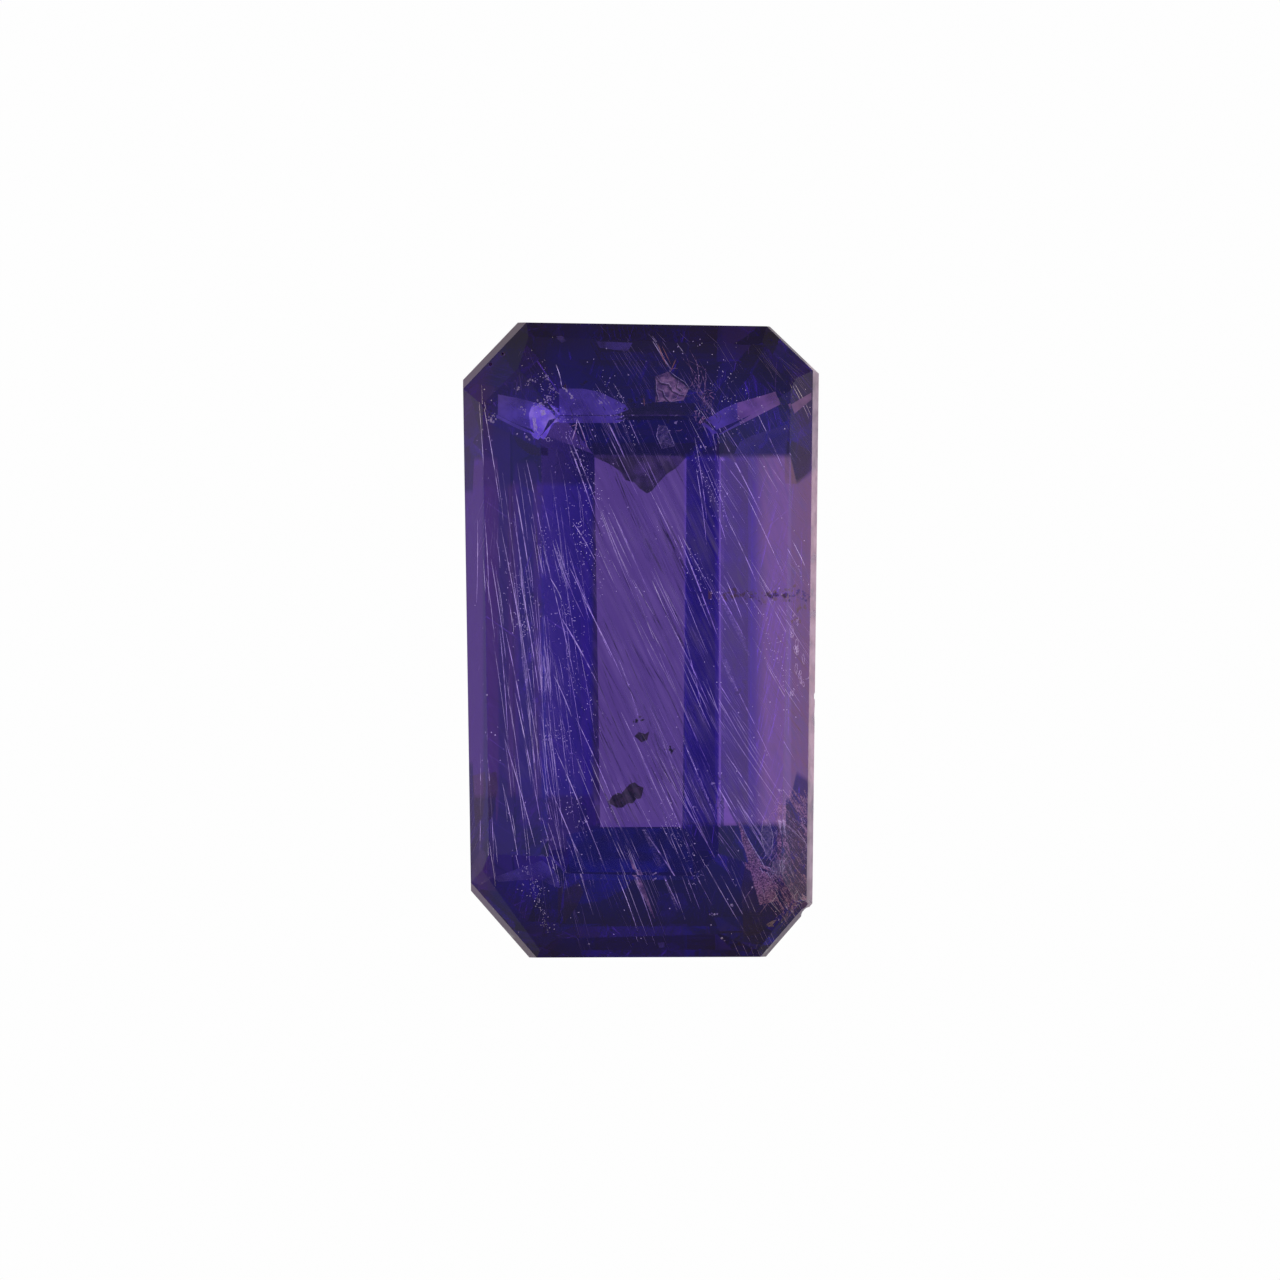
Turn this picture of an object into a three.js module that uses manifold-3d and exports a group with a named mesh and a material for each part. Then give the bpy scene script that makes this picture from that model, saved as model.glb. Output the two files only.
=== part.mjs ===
// A cut sapphire: a long step cut with eight sides, resting on the small flat at its tip.
// The stone is shaped as a cutter shapes it. A rough block loses one flat slice for each facet,
// ring after ring, and the small breaks along its edge are scooped out last.
// X runs across the stone, Y along it and Z up through its large flat top, the table.
import * as THREE from "three";
import { mergeVertices } from "three/addons/utils/BufferGeometryUtils.js";
import Module from "manifold-3d";

const wasm = await Module();
wasm.setup();

// Driving dimensions, in millimetres. The pavilion is the part below the girdle, the stone's
// widest band, and the crown is the part above it.
const STONE_HEIGHT = 3.5;
const CROWN_HEIGHT = 0.63;
const GIRDLE_BAND = 0.21;
const LOW_STEP_SHARE = 0.31;
const MIDDLE_STEP_SHARE = 0.5;

// The eight sides, going round from the right. faces is the way a side looks in plan, in degrees
// from +X, and girdle is how far its band stands from the stone's axis. The crown's edge lies
// further in by overhang, because the band leans. tableFaces and table place the table's edge,
// and tip the edge of the small flat below. The outer crown facet is crownStep wide in plan
// and crownSlope steep, and the two lower pavilion facets have slopes of their own.
const SIDES = [
  {
    name: "right", faces: -0.7, girdle: 2.47, overhang: 0.085, tableFaces: -0.1, table: 1.1, tip: 0.62,
    crownStep: 0.34, crownSlope: 40, lowSlope: 37, middleSlope: 47,
  },
  {
    name: "back right", faces: 46.2, girdle: 4.46, overhang: 0.03, tableFaces: 51.1, table: 2.95,
    tip: 2.3, crownStep: 0.3, crownSlope: 39, lowSlope: 35, middleSlope: 43,
  },
  {
    name: "back", faces: 89.1, girdle: 4.46, overhang: 0, tableFaces: 90, table: 3.16, tip: 2.62,
    crownStep: 0.24, crownSlope: 36.5, lowSlope: 42, middleSlope: 47,
  },
  {
    name: "back left", faces: 136.3, girdle: 4.36, overhang: 0.09, tableFaces: 138.6, table: 2.96,
    tip: 2.3, crownStep: 0.33, crownSlope: 43, lowSlope: 34.5, middleSlope: 41.5,
  },
  {
    name: "left", faces: 180.9, girdle: 2.46, overhang: 0, tableFaces: 181.1, table: 1.36, tip: 0.62,
    crownStep: 0.27, crownSlope: 51, lowSlope: 34.5, middleSlope: 55,
  },
  {
    name: "front left", faces: 221.2, girdle: 4.15, overhang: 0.08, tableFaces: 224.8, table: 3.08,
    tip: 2.33, crownStep: 0.32, crownSlope: 41, lowSlope: 39, middleSlope: 47,
  },
  {
    name: "front", faces: 270.2, girdle: 4.49, overhang: 0, tableFaces: 268.7, table: 3.32, tip: 2.66,
    crownStep: 0.3, crownSlope: 41.5, lowSlope: 40, middleSlope: 59.5,
  },
  {
    name: "front right", faces: 318.9, girdle: 4.28, overhang: 0.06, tableFaces: 312.7, table: 2.96,
    tip: 2.33, crownStep: 0.24, crownSlope: 43.5, lowSlope: 38.5, middleSlope: 46.5,
  },
];

// Breaks along the girdle: each is the hollow left by a flake, at (x, y, z), with its half sizes
// across, along and up.
const BREAKS = [
  { at: [2.54, -0.8, 2.67], size: [0.1, 0.09, 0.17] },
  { at: [2.6, -1.06, 2.66], size: [0.15, 0.33, 0.2] },
  { at: [2.56, -1.71, 2.66], size: [0.1, 0.13, 0.1] },
  { at: [2.36, -3.88, 2.7], size: [0.1, 0.1, 0.2] },
  { at: [2.42, -3.62, 2.9], size: [0.08, 0.12, 0.08] },
  { at: [2.33, -3.76, 2.89], size: [0.07, 0.06, 0.09] },
  { at: [0.79, 4.49, 2.86], size: [0.09, 0.04, 0.05] },
  { at: [-1.94, 4.03, 2.89], size: [0.04, 0.04, 0.05] },
  { at: [-2.12, 3.89, 2.89], size: [0.03, 0.03, 0.04] },
];
const FLAKE_SEGMENTS = 18;
const FLAKE_RINGS = 10;

const girdleTop = STONE_HEIGHT - CROWN_HEIGHT;
const girdleBottom = girdleTop - GIRDLE_BAND;
const ROUGH_ACROSS = 8;
const ROUGH_ALONG = 12;
const WHEEL = 30;
const QUARTER_TURN = 90;
const SAME_POINT = 1e-6;
const UP = new THREE.Vector3(0, 0, 1);

function toSolid(geometry) {
  const bare = geometry.clone();
  bare.deleteAttribute("normal");
  bare.deleteAttribute("uv");
  const merged = mergeVertices(bare, SAME_POINT);
  return new wasm.Manifold(
    new wasm.Mesh({
      numProp: 3,
      vertProperties: new Float32Array(merged.attributes.position.array),
      triVerts: new Uint32Array(merged.index.array),
    }),
  );
}

function toGeometry(solid) {
  const mesh = solid.getMesh();
  const geometry = new THREE.BufferGeometry();
  const points = new Float32Array(mesh.vertProperties);
  geometry.setAttribute("position", new THREE.BufferAttribute(points, 3));
  geometry.setIndex(new THREE.BufferAttribute(new Uint32Array(mesh.triVerts), 1));
  return geometry;
}

const radians = THREE.MathUtils.degToRad;
const rise = (across, slope) => across * Math.tan(radians(slope));
const run = (height, slope) => height / Math.tan(radians(slope));
const slopeOf = (across, up) => THREE.MathUtils.radToDeg(Math.atan2(up, across));

// The material that the grinding wheel takes off for one facet. The facet looks the way faces in
// plan, its outward direction is tilted by lean from straight up, and it passes through the
// level line at the given distance from the axis and height.
function wheelCut(faces, lean, distance, height) {
  const across = new THREE.Vector3(Math.cos(radians(faces)), Math.sin(radians(faces)), 0);
  const outward = across.clone().multiplyScalar(Math.sin(radians(lean)));
  outward.z = Math.cos(radians(lean));
  const onFacet = across.clone().multiplyScalar(distance).setZ(height);
  const centre = onFacet.addScaledVector(outward, WHEEL / 2);
  const turned = new THREE.Quaternion().setFromUnitVectors(UP, outward);
  const block = new THREE.BoxGeometry(WHEEL, WHEEL, WHEEL);
  block.applyMatrix4(new THREE.Matrix4().compose(centre, turned, new THREE.Vector3(1, 1, 1)));
  return toSolid(block);
}

// The crown of one side: a narrow outer facet that rises from the girdle, and a wide, flatter
// one that carries on up to the table.
function crownCuts(side) {
  const edge = side.girdle - side.overhang;
  const kneeDistance = edge - side.crownStep;
  const kneeHeight = girdleTop + rise(side.crownStep, side.crownSlope);
  const innerSlope = slopeOf(kneeDistance - side.table, STONE_HEIGHT - kneeHeight);
  return [
    wheelCut(side.faces, side.crownSlope, edge, girdleTop),
    wheelCut(side.tableFaces, innerSlope, side.table, STONE_HEIGHT),
  ];
}

// The girdle of one side: a narrow band, upright or leaning out a little towards its foot.
function girdleCut(side) {
  const lean = slopeOf(side.overhang, GIRDLE_BAND);
  return wheelCut(side.faces, lean, side.girdle, girdleBottom);
}

// The pavilion of one side: three steps up from the small flat, each steeper than the last.
function pavilionCuts(side) {
  const lowTop = girdleBottom * LOW_STEP_SHARE;
  const middleTop = girdleBottom * MIDDLE_STEP_SHARE;
  const lowEdge = side.tip + run(lowTop, side.lowSlope);
  const middleEdge = lowEdge + run(middleTop - lowTop, side.middleSlope);
  const topSlope = slopeOf(side.girdle - middleEdge, girdleBottom - middleTop);
  const under = 2 * QUARTER_TURN;
  return [
    wheelCut(side.faces, under - side.lowSlope, side.tip, 0),
    wheelCut(side.faces, under - side.middleSlope, lowEdge, lowTop),
    wheelCut(side.faces, under - topSlope, side.girdle, girdleBottom),
  ];
}

function flake({ at, size }) {
  const hollow = new THREE.SphereGeometry(1, FLAKE_SEGMENTS, FLAKE_RINGS);
  hollow.scale(...size);
  hollow.translate(...at);
  return toSolid(hollow);
}

function cutStone() {
  const rough = new THREE.BoxGeometry(ROUGH_ACROSS, ROUGH_ALONG, STONE_HEIGHT);
  rough.translate(0, 0, STONE_HEIGHT / 2);
  let stone = toSolid(rough);
  for (const side of SIDES) {
    for (const slice of [...crownCuts(side), girdleCut(side), ...pavilionCuts(side)]) {
      stone = stone.subtract(slice);
    }
  }
  for (const broken of BREAKS) {
    stone = stone.subtract(flake(broken));
  }
  return toGeometry(stone);
}

// The stone stands over the origin: the middle of its outline in plan is on the Z axis.
const geometry = cutStone();
geometry.computeBoundingBox();
const middle = geometry.boundingBox.getCenter(new THREE.Vector3());
geometry.translate(-middle.x, -middle.y, 0);
geometry.computeVertexNormals();

const sapphire = new THREE.Mesh(
  geometry,
  new THREE.MeshStandardMaterial({ color: 0x4a3a8c, roughness: 0.05, metalness: 0, flatShading: true }),
);
sapphire.name = "cut_sapphire";

const model = new THREE.Group();
model.add(sapphire);

export default model;
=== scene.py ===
# %% [markdown]
# # Looking into a cut sapphire
# The object is one violet-blue sapphire, 9 mm long, cut with long steps and clipped corners. It is
# photographed from above on a light pad, so nearly all that is seen is light that has come up
# through the stone. What makes it real is inside: hundreds of fine silk needles, a few dark
# crystals, healed cracks, and a fractured corner. This lesson sets up the view and the light, gives
# the stone its clear material, and then grows the inclusions one kind at a time.

# %% Load the stone
import math
import random

import bmesh
import bpy
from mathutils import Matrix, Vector, noise
from mathutils.bvhtree import BVHTree


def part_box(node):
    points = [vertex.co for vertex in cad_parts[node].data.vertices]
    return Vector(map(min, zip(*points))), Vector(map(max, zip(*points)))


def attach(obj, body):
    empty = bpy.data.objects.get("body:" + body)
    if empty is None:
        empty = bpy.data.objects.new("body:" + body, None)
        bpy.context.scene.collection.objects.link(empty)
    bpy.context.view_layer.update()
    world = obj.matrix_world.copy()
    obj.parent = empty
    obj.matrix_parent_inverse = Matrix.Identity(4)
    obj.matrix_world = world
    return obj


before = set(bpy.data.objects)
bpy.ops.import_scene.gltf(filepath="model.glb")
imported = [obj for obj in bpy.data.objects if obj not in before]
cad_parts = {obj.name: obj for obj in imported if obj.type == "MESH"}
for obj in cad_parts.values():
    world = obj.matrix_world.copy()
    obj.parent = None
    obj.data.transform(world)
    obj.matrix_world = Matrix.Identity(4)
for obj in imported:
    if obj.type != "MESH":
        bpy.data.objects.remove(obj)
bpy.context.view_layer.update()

MM = 0.001
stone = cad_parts["cut_sapphire"]
stone_low, stone_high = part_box("cut_sapphire")
print("stone in mm:", [round(side / MM, 3) for side in stone_high - stone_low])

# %% [markdown]
# ## The camera
# The photo looks straight down on the table, the stone's flat top. A small stone is photographed
# with a long lens from a hand's breadth or more away, so the perspective is nearly flat. The frame
# is a little over twice the stone's length. The lens is worked out from the width of the frame at
# the girdle, the stone's widest band, because that band is what gives the outline.

# %% Camera
GIRDLE_TOP = 2.87 * MM
GIRDLE_BOTTOM = 2.66 * MM
TABLE_HEIGHT = 3.5 * MM
VIEW_DISTANCE = 300 * MM
FRAME_WIDTH = 18.11 * MM
FRAME_MIDDLE_X = -0.013 * MM
SENSOR = 36

lens_data = bpy.data.cameras.new("view_from_above")
lens_data.sensor_width = SENSOR
lens_data.lens = SENSOR * VIEW_DISTANCE / FRAME_WIDTH
lens_data.clip_start = 10 * MM
lens_data.clip_end = 10
camera = bpy.data.objects.new("view_from_above", lens_data)
camera.location = (FRAME_MIDDLE_X, 0, GIRDLE_BOTTOM + VIEW_DISTANCE)
bpy.context.scene.collection.objects.link(camera)
bpy.context.scene.camera = camera
print("lens in mm:", round(lens_data.lens, 1))

# %% [markdown]
# ## The light pad
# A clear stone on a dark table looks dark, so it is laid on a pad that glows evenly. The pad could
# be lit from above like any floor, but then the stone would shade it and the purple window in its
# middle would go dull. A surface that gives off its own light keeps the background white and sends
# light up through the small flat that the stone rests on. A real pad is brightest near its middle,
# and the facets at the sides look out over its far end, so for them its glow falls off with the
# distance. The three helpers below start a material, spread a value over a range and mix colours.

# %% Pad finish
PAD_GLOW = 0.99
PAD_FAR_GLOW = 0.43
PAD_BRIGHT_TO = 8.5 * MM
PAD_DIM_FROM = 13 * MM


def new_material(name):
    """An empty node material, with its output node."""
    material = bpy.data.materials.new(name)
    material.use_nodes = True
    tree = material.node_tree
    tree.nodes.clear()
    return material, tree, tree.nodes.new("ShaderNodeOutputMaterial")


def spread(tree, source, low, high, start=0.0, end=1.0):
    """start where source is at low, end where it is at high, held beyond."""
    node = tree.nodes.new("ShaderNodeMapRange")
    tree.links.new(source, node.inputs["Value"])
    for name, value in (("From Min", low), ("From Max", high), ("To Min", start), ("To Max", end)):
        node.inputs[name].default_value = value
    return node.outputs["Result"]


def mix(tree, factor, first, second):
    """A colour mix; returns its output."""
    node = tree.nodes.new("ShaderNodeMix")
    node.data_type = "RGBA"
    sockets = (node.inputs["Factor"], node.inputs["A"], node.inputs["B"])
    for socket, source in zip(sockets, (factor, first, second)):
        if isinstance(source, (int, float)):
            socket.default_value = source
        elif isinstance(source, tuple):
            socket.default_value = (*source, 1)
        else:
            tree.links.new(source, socket)
    return node.outputs["Result"]


pad_finish, tree, output = new_material("light_pad")
place = tree.nodes.new("ShaderNodeTexCoord").outputs["Object"]
length = tree.nodes.new("ShaderNodeVectorMath")
length.operation = "LENGTH"
tree.links.new(place, length.inputs[0])
far = spread(tree, length.outputs["Value"], PAD_BRIGHT_TO, PAD_DIM_FROM)
level = mix(tree, far, (PAD_GLOW,) * 3, (PAD_FAR_GLOW,) * 3)
direct = tree.nodes.new("ShaderNodeLightPath").outputs["Is Camera Ray"]
glow = tree.nodes.new("ShaderNodeEmission")
tree.links.new(mix(tree, direct, level, (PAD_GLOW,) * 3), glow.inputs["Color"])
tree.links.new(glow.outputs[0], output.inputs["Surface"])
print("nodes in the pad finish:", len(tree.nodes))

# %% [markdown]
# The pad itself is one flat face, far larger than the view, so that no edge of it shows. It lies a
# hair below the stone, so that the two faces don't share one plane, and it belongs to the studio
# and not to the stone.

# %% Pad
PAD_REACH = 2.0
PAD_GAP = 0.004 * MM

pad_mesh = bpy.data.meshes.new("light_pad")
corners = [(-1, -1), (1, -1), (1, 1), (-1, 1)]
pad_corners = [(x * PAD_REACH, y * PAD_REACH, -PAD_GAP) for x, y in corners]
pad_mesh.from_pydata(pad_corners, [], [(0, 1, 2, 3)])
pad = bpy.data.objects.new("light_pad", pad_mesh)
pad_mesh.materials.append(pad_finish)
bpy.context.scene.collection.objects.link(pad)
print("pad across, in m:", 2 * PAD_REACH)

# %% [markdown]
# ## The studio
# Facets are mirrors and prisms, so each one shows a piece of the room. Two soft boxes stand to the
# stone's right and left, the right one brighter, and the ends and the ceiling are dim. Area lights
# could do this, but light that has passed through glass facets finds a lamp only by chance, which
# leaves speckle. A sky made of smooth ramps is found by every ray. Each ramp says how bright one
# side of the room is from the horizon up to the zenith.

# %% Studio
ZENITH = 0.12
ENDS_GLOW = (0.105, 0.135, 0.17, ZENITH)
RIGHT_GLOW = (0.46, 0.42, 0.16, ZENITH)
LEFT_GLOW = (0.57, 0.13, 0.3, ZENITH)


def maths(tree, operation, first, second=0.0, clamp=False):
    """One Math node; returns its output."""
    node = tree.nodes.new("ShaderNodeMath")
    node.operation = operation
    node.use_clamp = clamp
    for socket, source in zip(node.inputs, (first, second)):
        if isinstance(source, (int, float)):
            socket.default_value = source
        else:
            tree.links.new(source, socket)
    return node.outputs[0]


def ramp(tree, factor, stops):
    """A Color Ramp through (position, colour) stops; a plain number stands for a grey."""
    node = tree.nodes.new("ShaderNodeValToRGB")
    elements = node.color_ramp.elements
    while len(elements) < len(stops):
        elements.new(0.5)
    for element, (position, colour) in zip(elements, stops):
        element.position = position
        colour = (colour,) * 3 if isinstance(colour, (int, float)) else colour
        element.color = (*colour, 1)
    tree.links.new(factor, node.inputs["Fac"])
    return node.outputs["Color"]


world = bpy.data.worlds.new("studio")
world.use_nodes = True
bpy.context.scene.world = world
tree = world.node_tree
tree.nodes.clear()
look = tree.nodes.new("ShaderNodeTexCoord").outputs["Generated"]
split = tree.nodes.new("ShaderNodeSeparateXYZ")
tree.links.new(look, split.inputs[0])
east, north, up = split.outputs
height = maths(tree, "DIVIDE", maths(tree, "ARCSINE", up), math.pi / 2)
glows = []
for steps in (ENDS_GLOW, RIGHT_GLOW, LEFT_GLOW):
    last = len(steps) - 1
    glows.append(ramp(tree, height, [(i / last, level) for i, level in enumerate(steps)]))
print("ramps from the horizon up:", len(glows))

# %% [markdown]
# The boxes are 80 degrees wide and fade out at their sides. The angle round the horizon picks
# between a box and the dim ends, and its sign picks the right or the left box. The camera itself
# sees a white backdrop instead of the room.

# %% Soft boxes
BOX_HALF_WIDTH = math.radians(40)
BOX_SOFTNESS = math.radians(20)
BACKDROP = 0.99

turned = maths(tree, "ARCTAN2", maths(tree, "ABSOLUTE", north), maths(tree, "ABSOLUTE", east))
off_edge = maths(tree, "SUBTRACT", BOX_HALF_WIDTH, turned)
in_box = maths(tree, "ADD", maths(tree, "DIVIDE", off_edge, BOX_SOFTNESS), 0.5, clamp=True)
sides = mix(tree, maths(tree, "GREATER_THAN", east, 0.0), glows[2], glows[1])
room = mix(tree, in_box, glows[0], sides)
seen = tree.nodes.new("ShaderNodeLightPath").outputs["Is Camera Ray"]
shown = mix(tree, seen, room, (BACKDROP,) * 3)
sky = tree.nodes.new("ShaderNodeBackground")
tree.links.new(shown, sky.inputs["Color"])
output = tree.nodes.new("ShaderNodeOutputWorld")
tree.links.new(sky.outputs[0], output.inputs["Surface"])
print("soft boxes, degrees wide:", round(2 * math.degrees(BOX_HALF_WIDTH)))

# %% [markdown]
# ## How long light is followed
# Light that enters a cut stone bounces from facet to facet many times before it finds its way out.
# Blender stops after 12 steps, which leaves black holes in the darkest facets, so the limits are
# raised. The colours are shown as they are, without a film look, because the photo is a plain one.

# %% Light paths
BOUNCES = 24
DIFFUSE_BOUNCES = 3
scene = bpy.context.scene
scene.cycles.max_bounces = BOUNCES
scene.cycles.transmission_bounces = BOUNCES
scene.cycles.glossy_bounces = BOUNCES
scene.cycles.diffuse_bounces = DIFFUSE_BOUNCES
scene.cycles.transparent_max_bounces = BOUNCES
scene.view_settings.view_transform = "Standard"
scene.view_settings.look = "None"
print("bounces:", BOUNCES)

# %% [markdown]
# ## Clear sapphire
# The stone is clear, so its surface passes light on and bends it, and the colour builds up along
# the way through. Sapphire bends light by 1.77. Its body absorbs green most and blue least, which
# leaves violet-blue, darker where the path is long, and the base colour adds what the surface
# takes away. A glass shader with a painted picture could copy one view, but only a real volume
# darkens in the right places from every side.

# %% Sapphire body
SAPPHIRE_IOR = 1.77
BODY_COLOUR = (0.45, 0.21, 0.8)
BODY_DENSITY = 600
SURFACE_TINT = (0.254, 0.194, 0.335)

sapphire, tree, output = new_material("sapphire")
body = tree.nodes.new("ShaderNodeVolumeAbsorption")
body.inputs["Color"].default_value = (*BODY_COLOUR, 1)
body.inputs["Density"].default_value = BODY_DENSITY
tree.links.new(body.outputs[0], output.inputs["Volume"])
surface = tree.nodes.new("ShaderNodeBsdfPrincipled")
surface.inputs["IOR"].default_value = SAPPHIRE_IOR
tree.links.new(surface.outputs[0], output.inputs["Surface"])
for slot in stone.material_slots:
    slot.material = sapphire
print("material slots dressed:", len(stone.material_slots))

# %% [markdown]
# The girdle, the stone's widest band, was left as it was ground. It is frosted, dusky pink, and
# lets little light through. Its place is known from its height, and cloudy noise makes the frost
# uneven, with small polished gaps. Only its right side is pale: a painted highlight, in patches,
# where the bright box reaches it.

# %% Ground girdle
GROUND_DUSK = (0.14, 0.06, 0.13)
GROUND_PINK = (0.5, 0.32, 0.41)
GROUND_LIT_PALE = (0.85, 0.6, 0.72)
LIT_PALE_FROM = 2.3 * MM
LIT_PALE_FULL = 2.4 * MM
FROST_GRAIN = 0.25 * MM
FROST_PATCHES = (0.2, 0.4)
LIT_PALE_PATCHES = (0.35, 0.6)
FROST_COVER = 0.85


def place_in(tree):
    """A point's place in the stone, in metres, and its X, Y and Z."""
    place = tree.nodes.new("ShaderNodeTexCoord").outputs["Object"]
    split = tree.nodes.new("ShaderNodeSeparateXYZ")
    tree.links.new(place, split.inputs[0])
    return place, split.outputs


def mottle(tree, place, grain, detail=3.0, along=None, stretch=1.0):
    """Cloudy noise, its patches about grain metres across, drawn out along a direction in plan."""
    turned = tree.nodes.new("ShaderNodeMapping")
    turned.vector_type = "TEXTURE"
    if along is not None:
        turned.inputs["Rotation"].default_value = (0, 0, math.atan2(along[1], along[0]))
        turned.inputs["Scale"].default_value = (stretch, 1, 1)
    tree.links.new(place, turned.inputs["Vector"])
    node = tree.nodes.new("ShaderNodeTexNoise")
    node.inputs["Scale"].default_value = 1 / grain
    node.inputs["Detail"].default_value = detail
    tree.links.new(turned.outputs[0], node.inputs["Vector"])
    return node.outputs["Fac"]


place, (east, north, up) = place_in(tree)
over_foot = maths(tree, "GREATER_THAN", up, GIRDLE_BOTTOM)
under_crown = maths(tree, "LESS_THAN", up, GIRDLE_TOP)
girdle = maths(tree, "MULTIPLY", over_foot, under_crown)
patches = mottle(tree, place, FROST_GRAIN)
frost = maths(tree, "MULTIPLY", girdle, spread(tree, patches, *FROST_PATCHES))
# Painted highlight: the right side of the girdle is pale in patches where the bright box reaches it,
# and the rest stays dusky.
ground = mix(tree, spread(tree, patches, *LIT_PALE_PATCHES), GROUND_PINK, GROUND_LIT_PALE)
ground = mix(tree, spread(tree, east, LIT_PALE_FROM, LIT_PALE_FULL), GROUND_DUSK, ground)
clearness = maths(tree, "SUBTRACT", 1, maths(tree, "MULTIPLY", frost, FROST_COVER))
tree.links.new(clearness, surface.inputs["Transmission Weight"])
print("girdle band, in mm:", round((GIRDLE_TOP - GIRDLE_BOTTOM) / MM, 2))

# %% [markdown]
# The polish of the facets is nearly perfect, with faint worn patches. The four corners grew less
# blue than the rest, as the tips of a crystal often do.

# %% Polish and corners
POLISH = 0.012
WORN_POLISH = 0.035
WEAR_GRAIN = 0.05 * MM
WORN_PATCHES = (0.5, 0.75)
GROUND_ROUGHNESS = 0.5
TIP_TINT = (0.235, 0.18, 0.11)
TIP_FROM = 4.9 * MM
TIP_FULL = 5.5 * MM

out_to_corner = maths(tree, "ADD", maths(tree, "ABSOLUTE", east), maths(tree, "ABSOLUTE", north))
clear = mix(tree, spread(tree, out_to_corner, TIP_FROM, TIP_FULL), SURFACE_TINT, TIP_TINT)
tree.links.new(mix(tree, frost, clear, ground), surface.inputs["Base Color"])
wear_and_highlight = spread(tree, mottle(tree, place, WEAR_GRAIN, 4), *WORN_PATCHES)
wear = mix(tree, wear_and_highlight, (POLISH,) * 3, (WORN_POLISH,) * 3)
tree.links.new(mix(tree, frost, wear, (GROUND_ROUGHNESS,) * 3), surface.inputs["Roughness"])
print("nodes in the sapphire finish:", len(tree.nodes))

# %% [markdown]
# ## Haze
# Silk far finer than any needle here scatters light through the whole stone, as a violet haze. The
# right side grew pinker and hazier than the rest, as many sapphires do, and the left rim is hazy
# too. Following that scattering inside the volume would be slow and speckled. A faint glow at the
# surface of the crown, the part over the girdle, gives the same veil over what is seen below. A
# ramp across the stone sets its colour, from X in mm to a colour of light.

# %% Haze across the stone
HAZE_EDGE = 2.6
HAZE = [
    (-2.6, (0.045, 0.008, 0.095)), (-2.24, (0.045, 0.008, 0.095)), (-2.22, (0.022, 0.004, 0.05)),
    (-2.02, (0.018, 0.003, 0.045)), (-2.0, (0.0, 0.0, 0.03)), (-1.88, (0.0, 0.0, 0.026)),
    (-1.85, (0.014, 0.003, 0.04)), (-1.74, (0.014, 0.003, 0.04)), (-1.71, (0.0, 0.0, 0.028)),
    (-1.53, (0.0, 0.0, 0.028)), (-1.5, (0.014, 0.004, 0.04)), (-1.42, (0.012, 0.003, 0.04)),
    (-1.37, (0.0, 0.0, 0.075)), (-0.7, (0.0, 0.0, 0.07)), (-0.66, (0.0, 0.0, 0.012)),
    (0.6, (0.0, 0.0, 0.016)), (0.64, (0.005, 0.0, 0.115)), (1.07, (0.005, 0.0, 0.105)),
    (1.15, (0.048, 0.02, 0.185)), (1.6, (0.052, 0.024, 0.13)), (1.76, (0.134, 0.062, 0.165)),
    (2.11, (0.134, 0.062, 0.155)), (2.13, (0.116, 0.046, 0.085)), (2.6, (0.116, 0.046, 0.085)),
]


def by_width(stops):
    """Stops given by how far across the stone they lie, as positions on a ramp."""
    return [((x + HAZE_EDGE) / (2 * HAZE_EDGE), value) for x, value in stops]


across = spread(tree, east, -HAZE_EDGE * MM, HAZE_EDGE * MM)
haze = ramp(tree, across, by_width(HAZE))
print("haze stops:", len(HAZE))

# %% [markdown]
# The haze ends towards both tips, at a line that steps out and in with the facets below it. So a
# second ramp across the stone says how far along the stone the haze reaches, in mm from its middle,
# and at the front it stops a little earlier near the rims.

# %% Reach of the haze
HAZE_REACH = [
    (-2.6, 2.1), (-2.37, 2.1), (-2.36, 2.56), (-2.02, 2.56), (-2.0, 2.2), (-0.66, 2.2), (-0.64, 2.6),
    (1.6, 2.6), (2.11, 2.6), (2.13, 2.52), (2.2, 2.22), (2.6, 2.5),
]
LONGEST_REACH = 3.0
FRONT_RIM_SHORTER = 0.35 * MM
RIM_FROM = 2.05 * MM
RIM_FULL = 2.25 * MM

reach = ramp(tree, across, by_width([(x, reach / LONGEST_REACH) for x, reach in HAZE_REACH]))
reach = spread(tree, reach, 0, 1, 0, LONGEST_REACH * MM)
from_middle = maths(tree, "ABSOLUTE", north)
inside = maths(tree, "SUBTRACT", reach, from_middle)
sideways = maths(tree, "ABSOLUTE", east)
in_front = maths(tree, "LESS_THAN", north, 0.0)
front_rim = maths(tree, "MULTIPLY", in_front, maths(tree, "GREATER_THAN", sideways, RIM_FROM))
inside = maths(tree, "SUBTRACT", inside, spread(tree, front_rim, 0, 1, 0, FRONT_RIM_SHORTER))
print("reach stops:", len(HAZE_REACH))

# %% [markdown]
# The haze streams the way the needles lie, because it is made of finer ones. Noise drawn out along
# the silk gives the streaks, and a coarser cloud makes them come and go. On the left they are
# fainter.

# %% Streaks in the haze
SILK_IN_PLAN = (0.466, -1.0)
STREAK_COLOUR = (0.07, 0.046, 0.12)
STREAK_GRAIN = 0.06 * MM
STREAK_STRETCH = 26
STREAK_PATCHES = (0.38, 0.72)
STREAK_SHARE = 0.75
CLOUD_GRAIN = 0.9 * MM
CLOUD_PATCHES = (0.3, 0.7)
STREAKS_FROM = -0.70 * MM
STREAKS_FULL = -0.64 * MM
LEFT_STREAKS = 0.25

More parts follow.
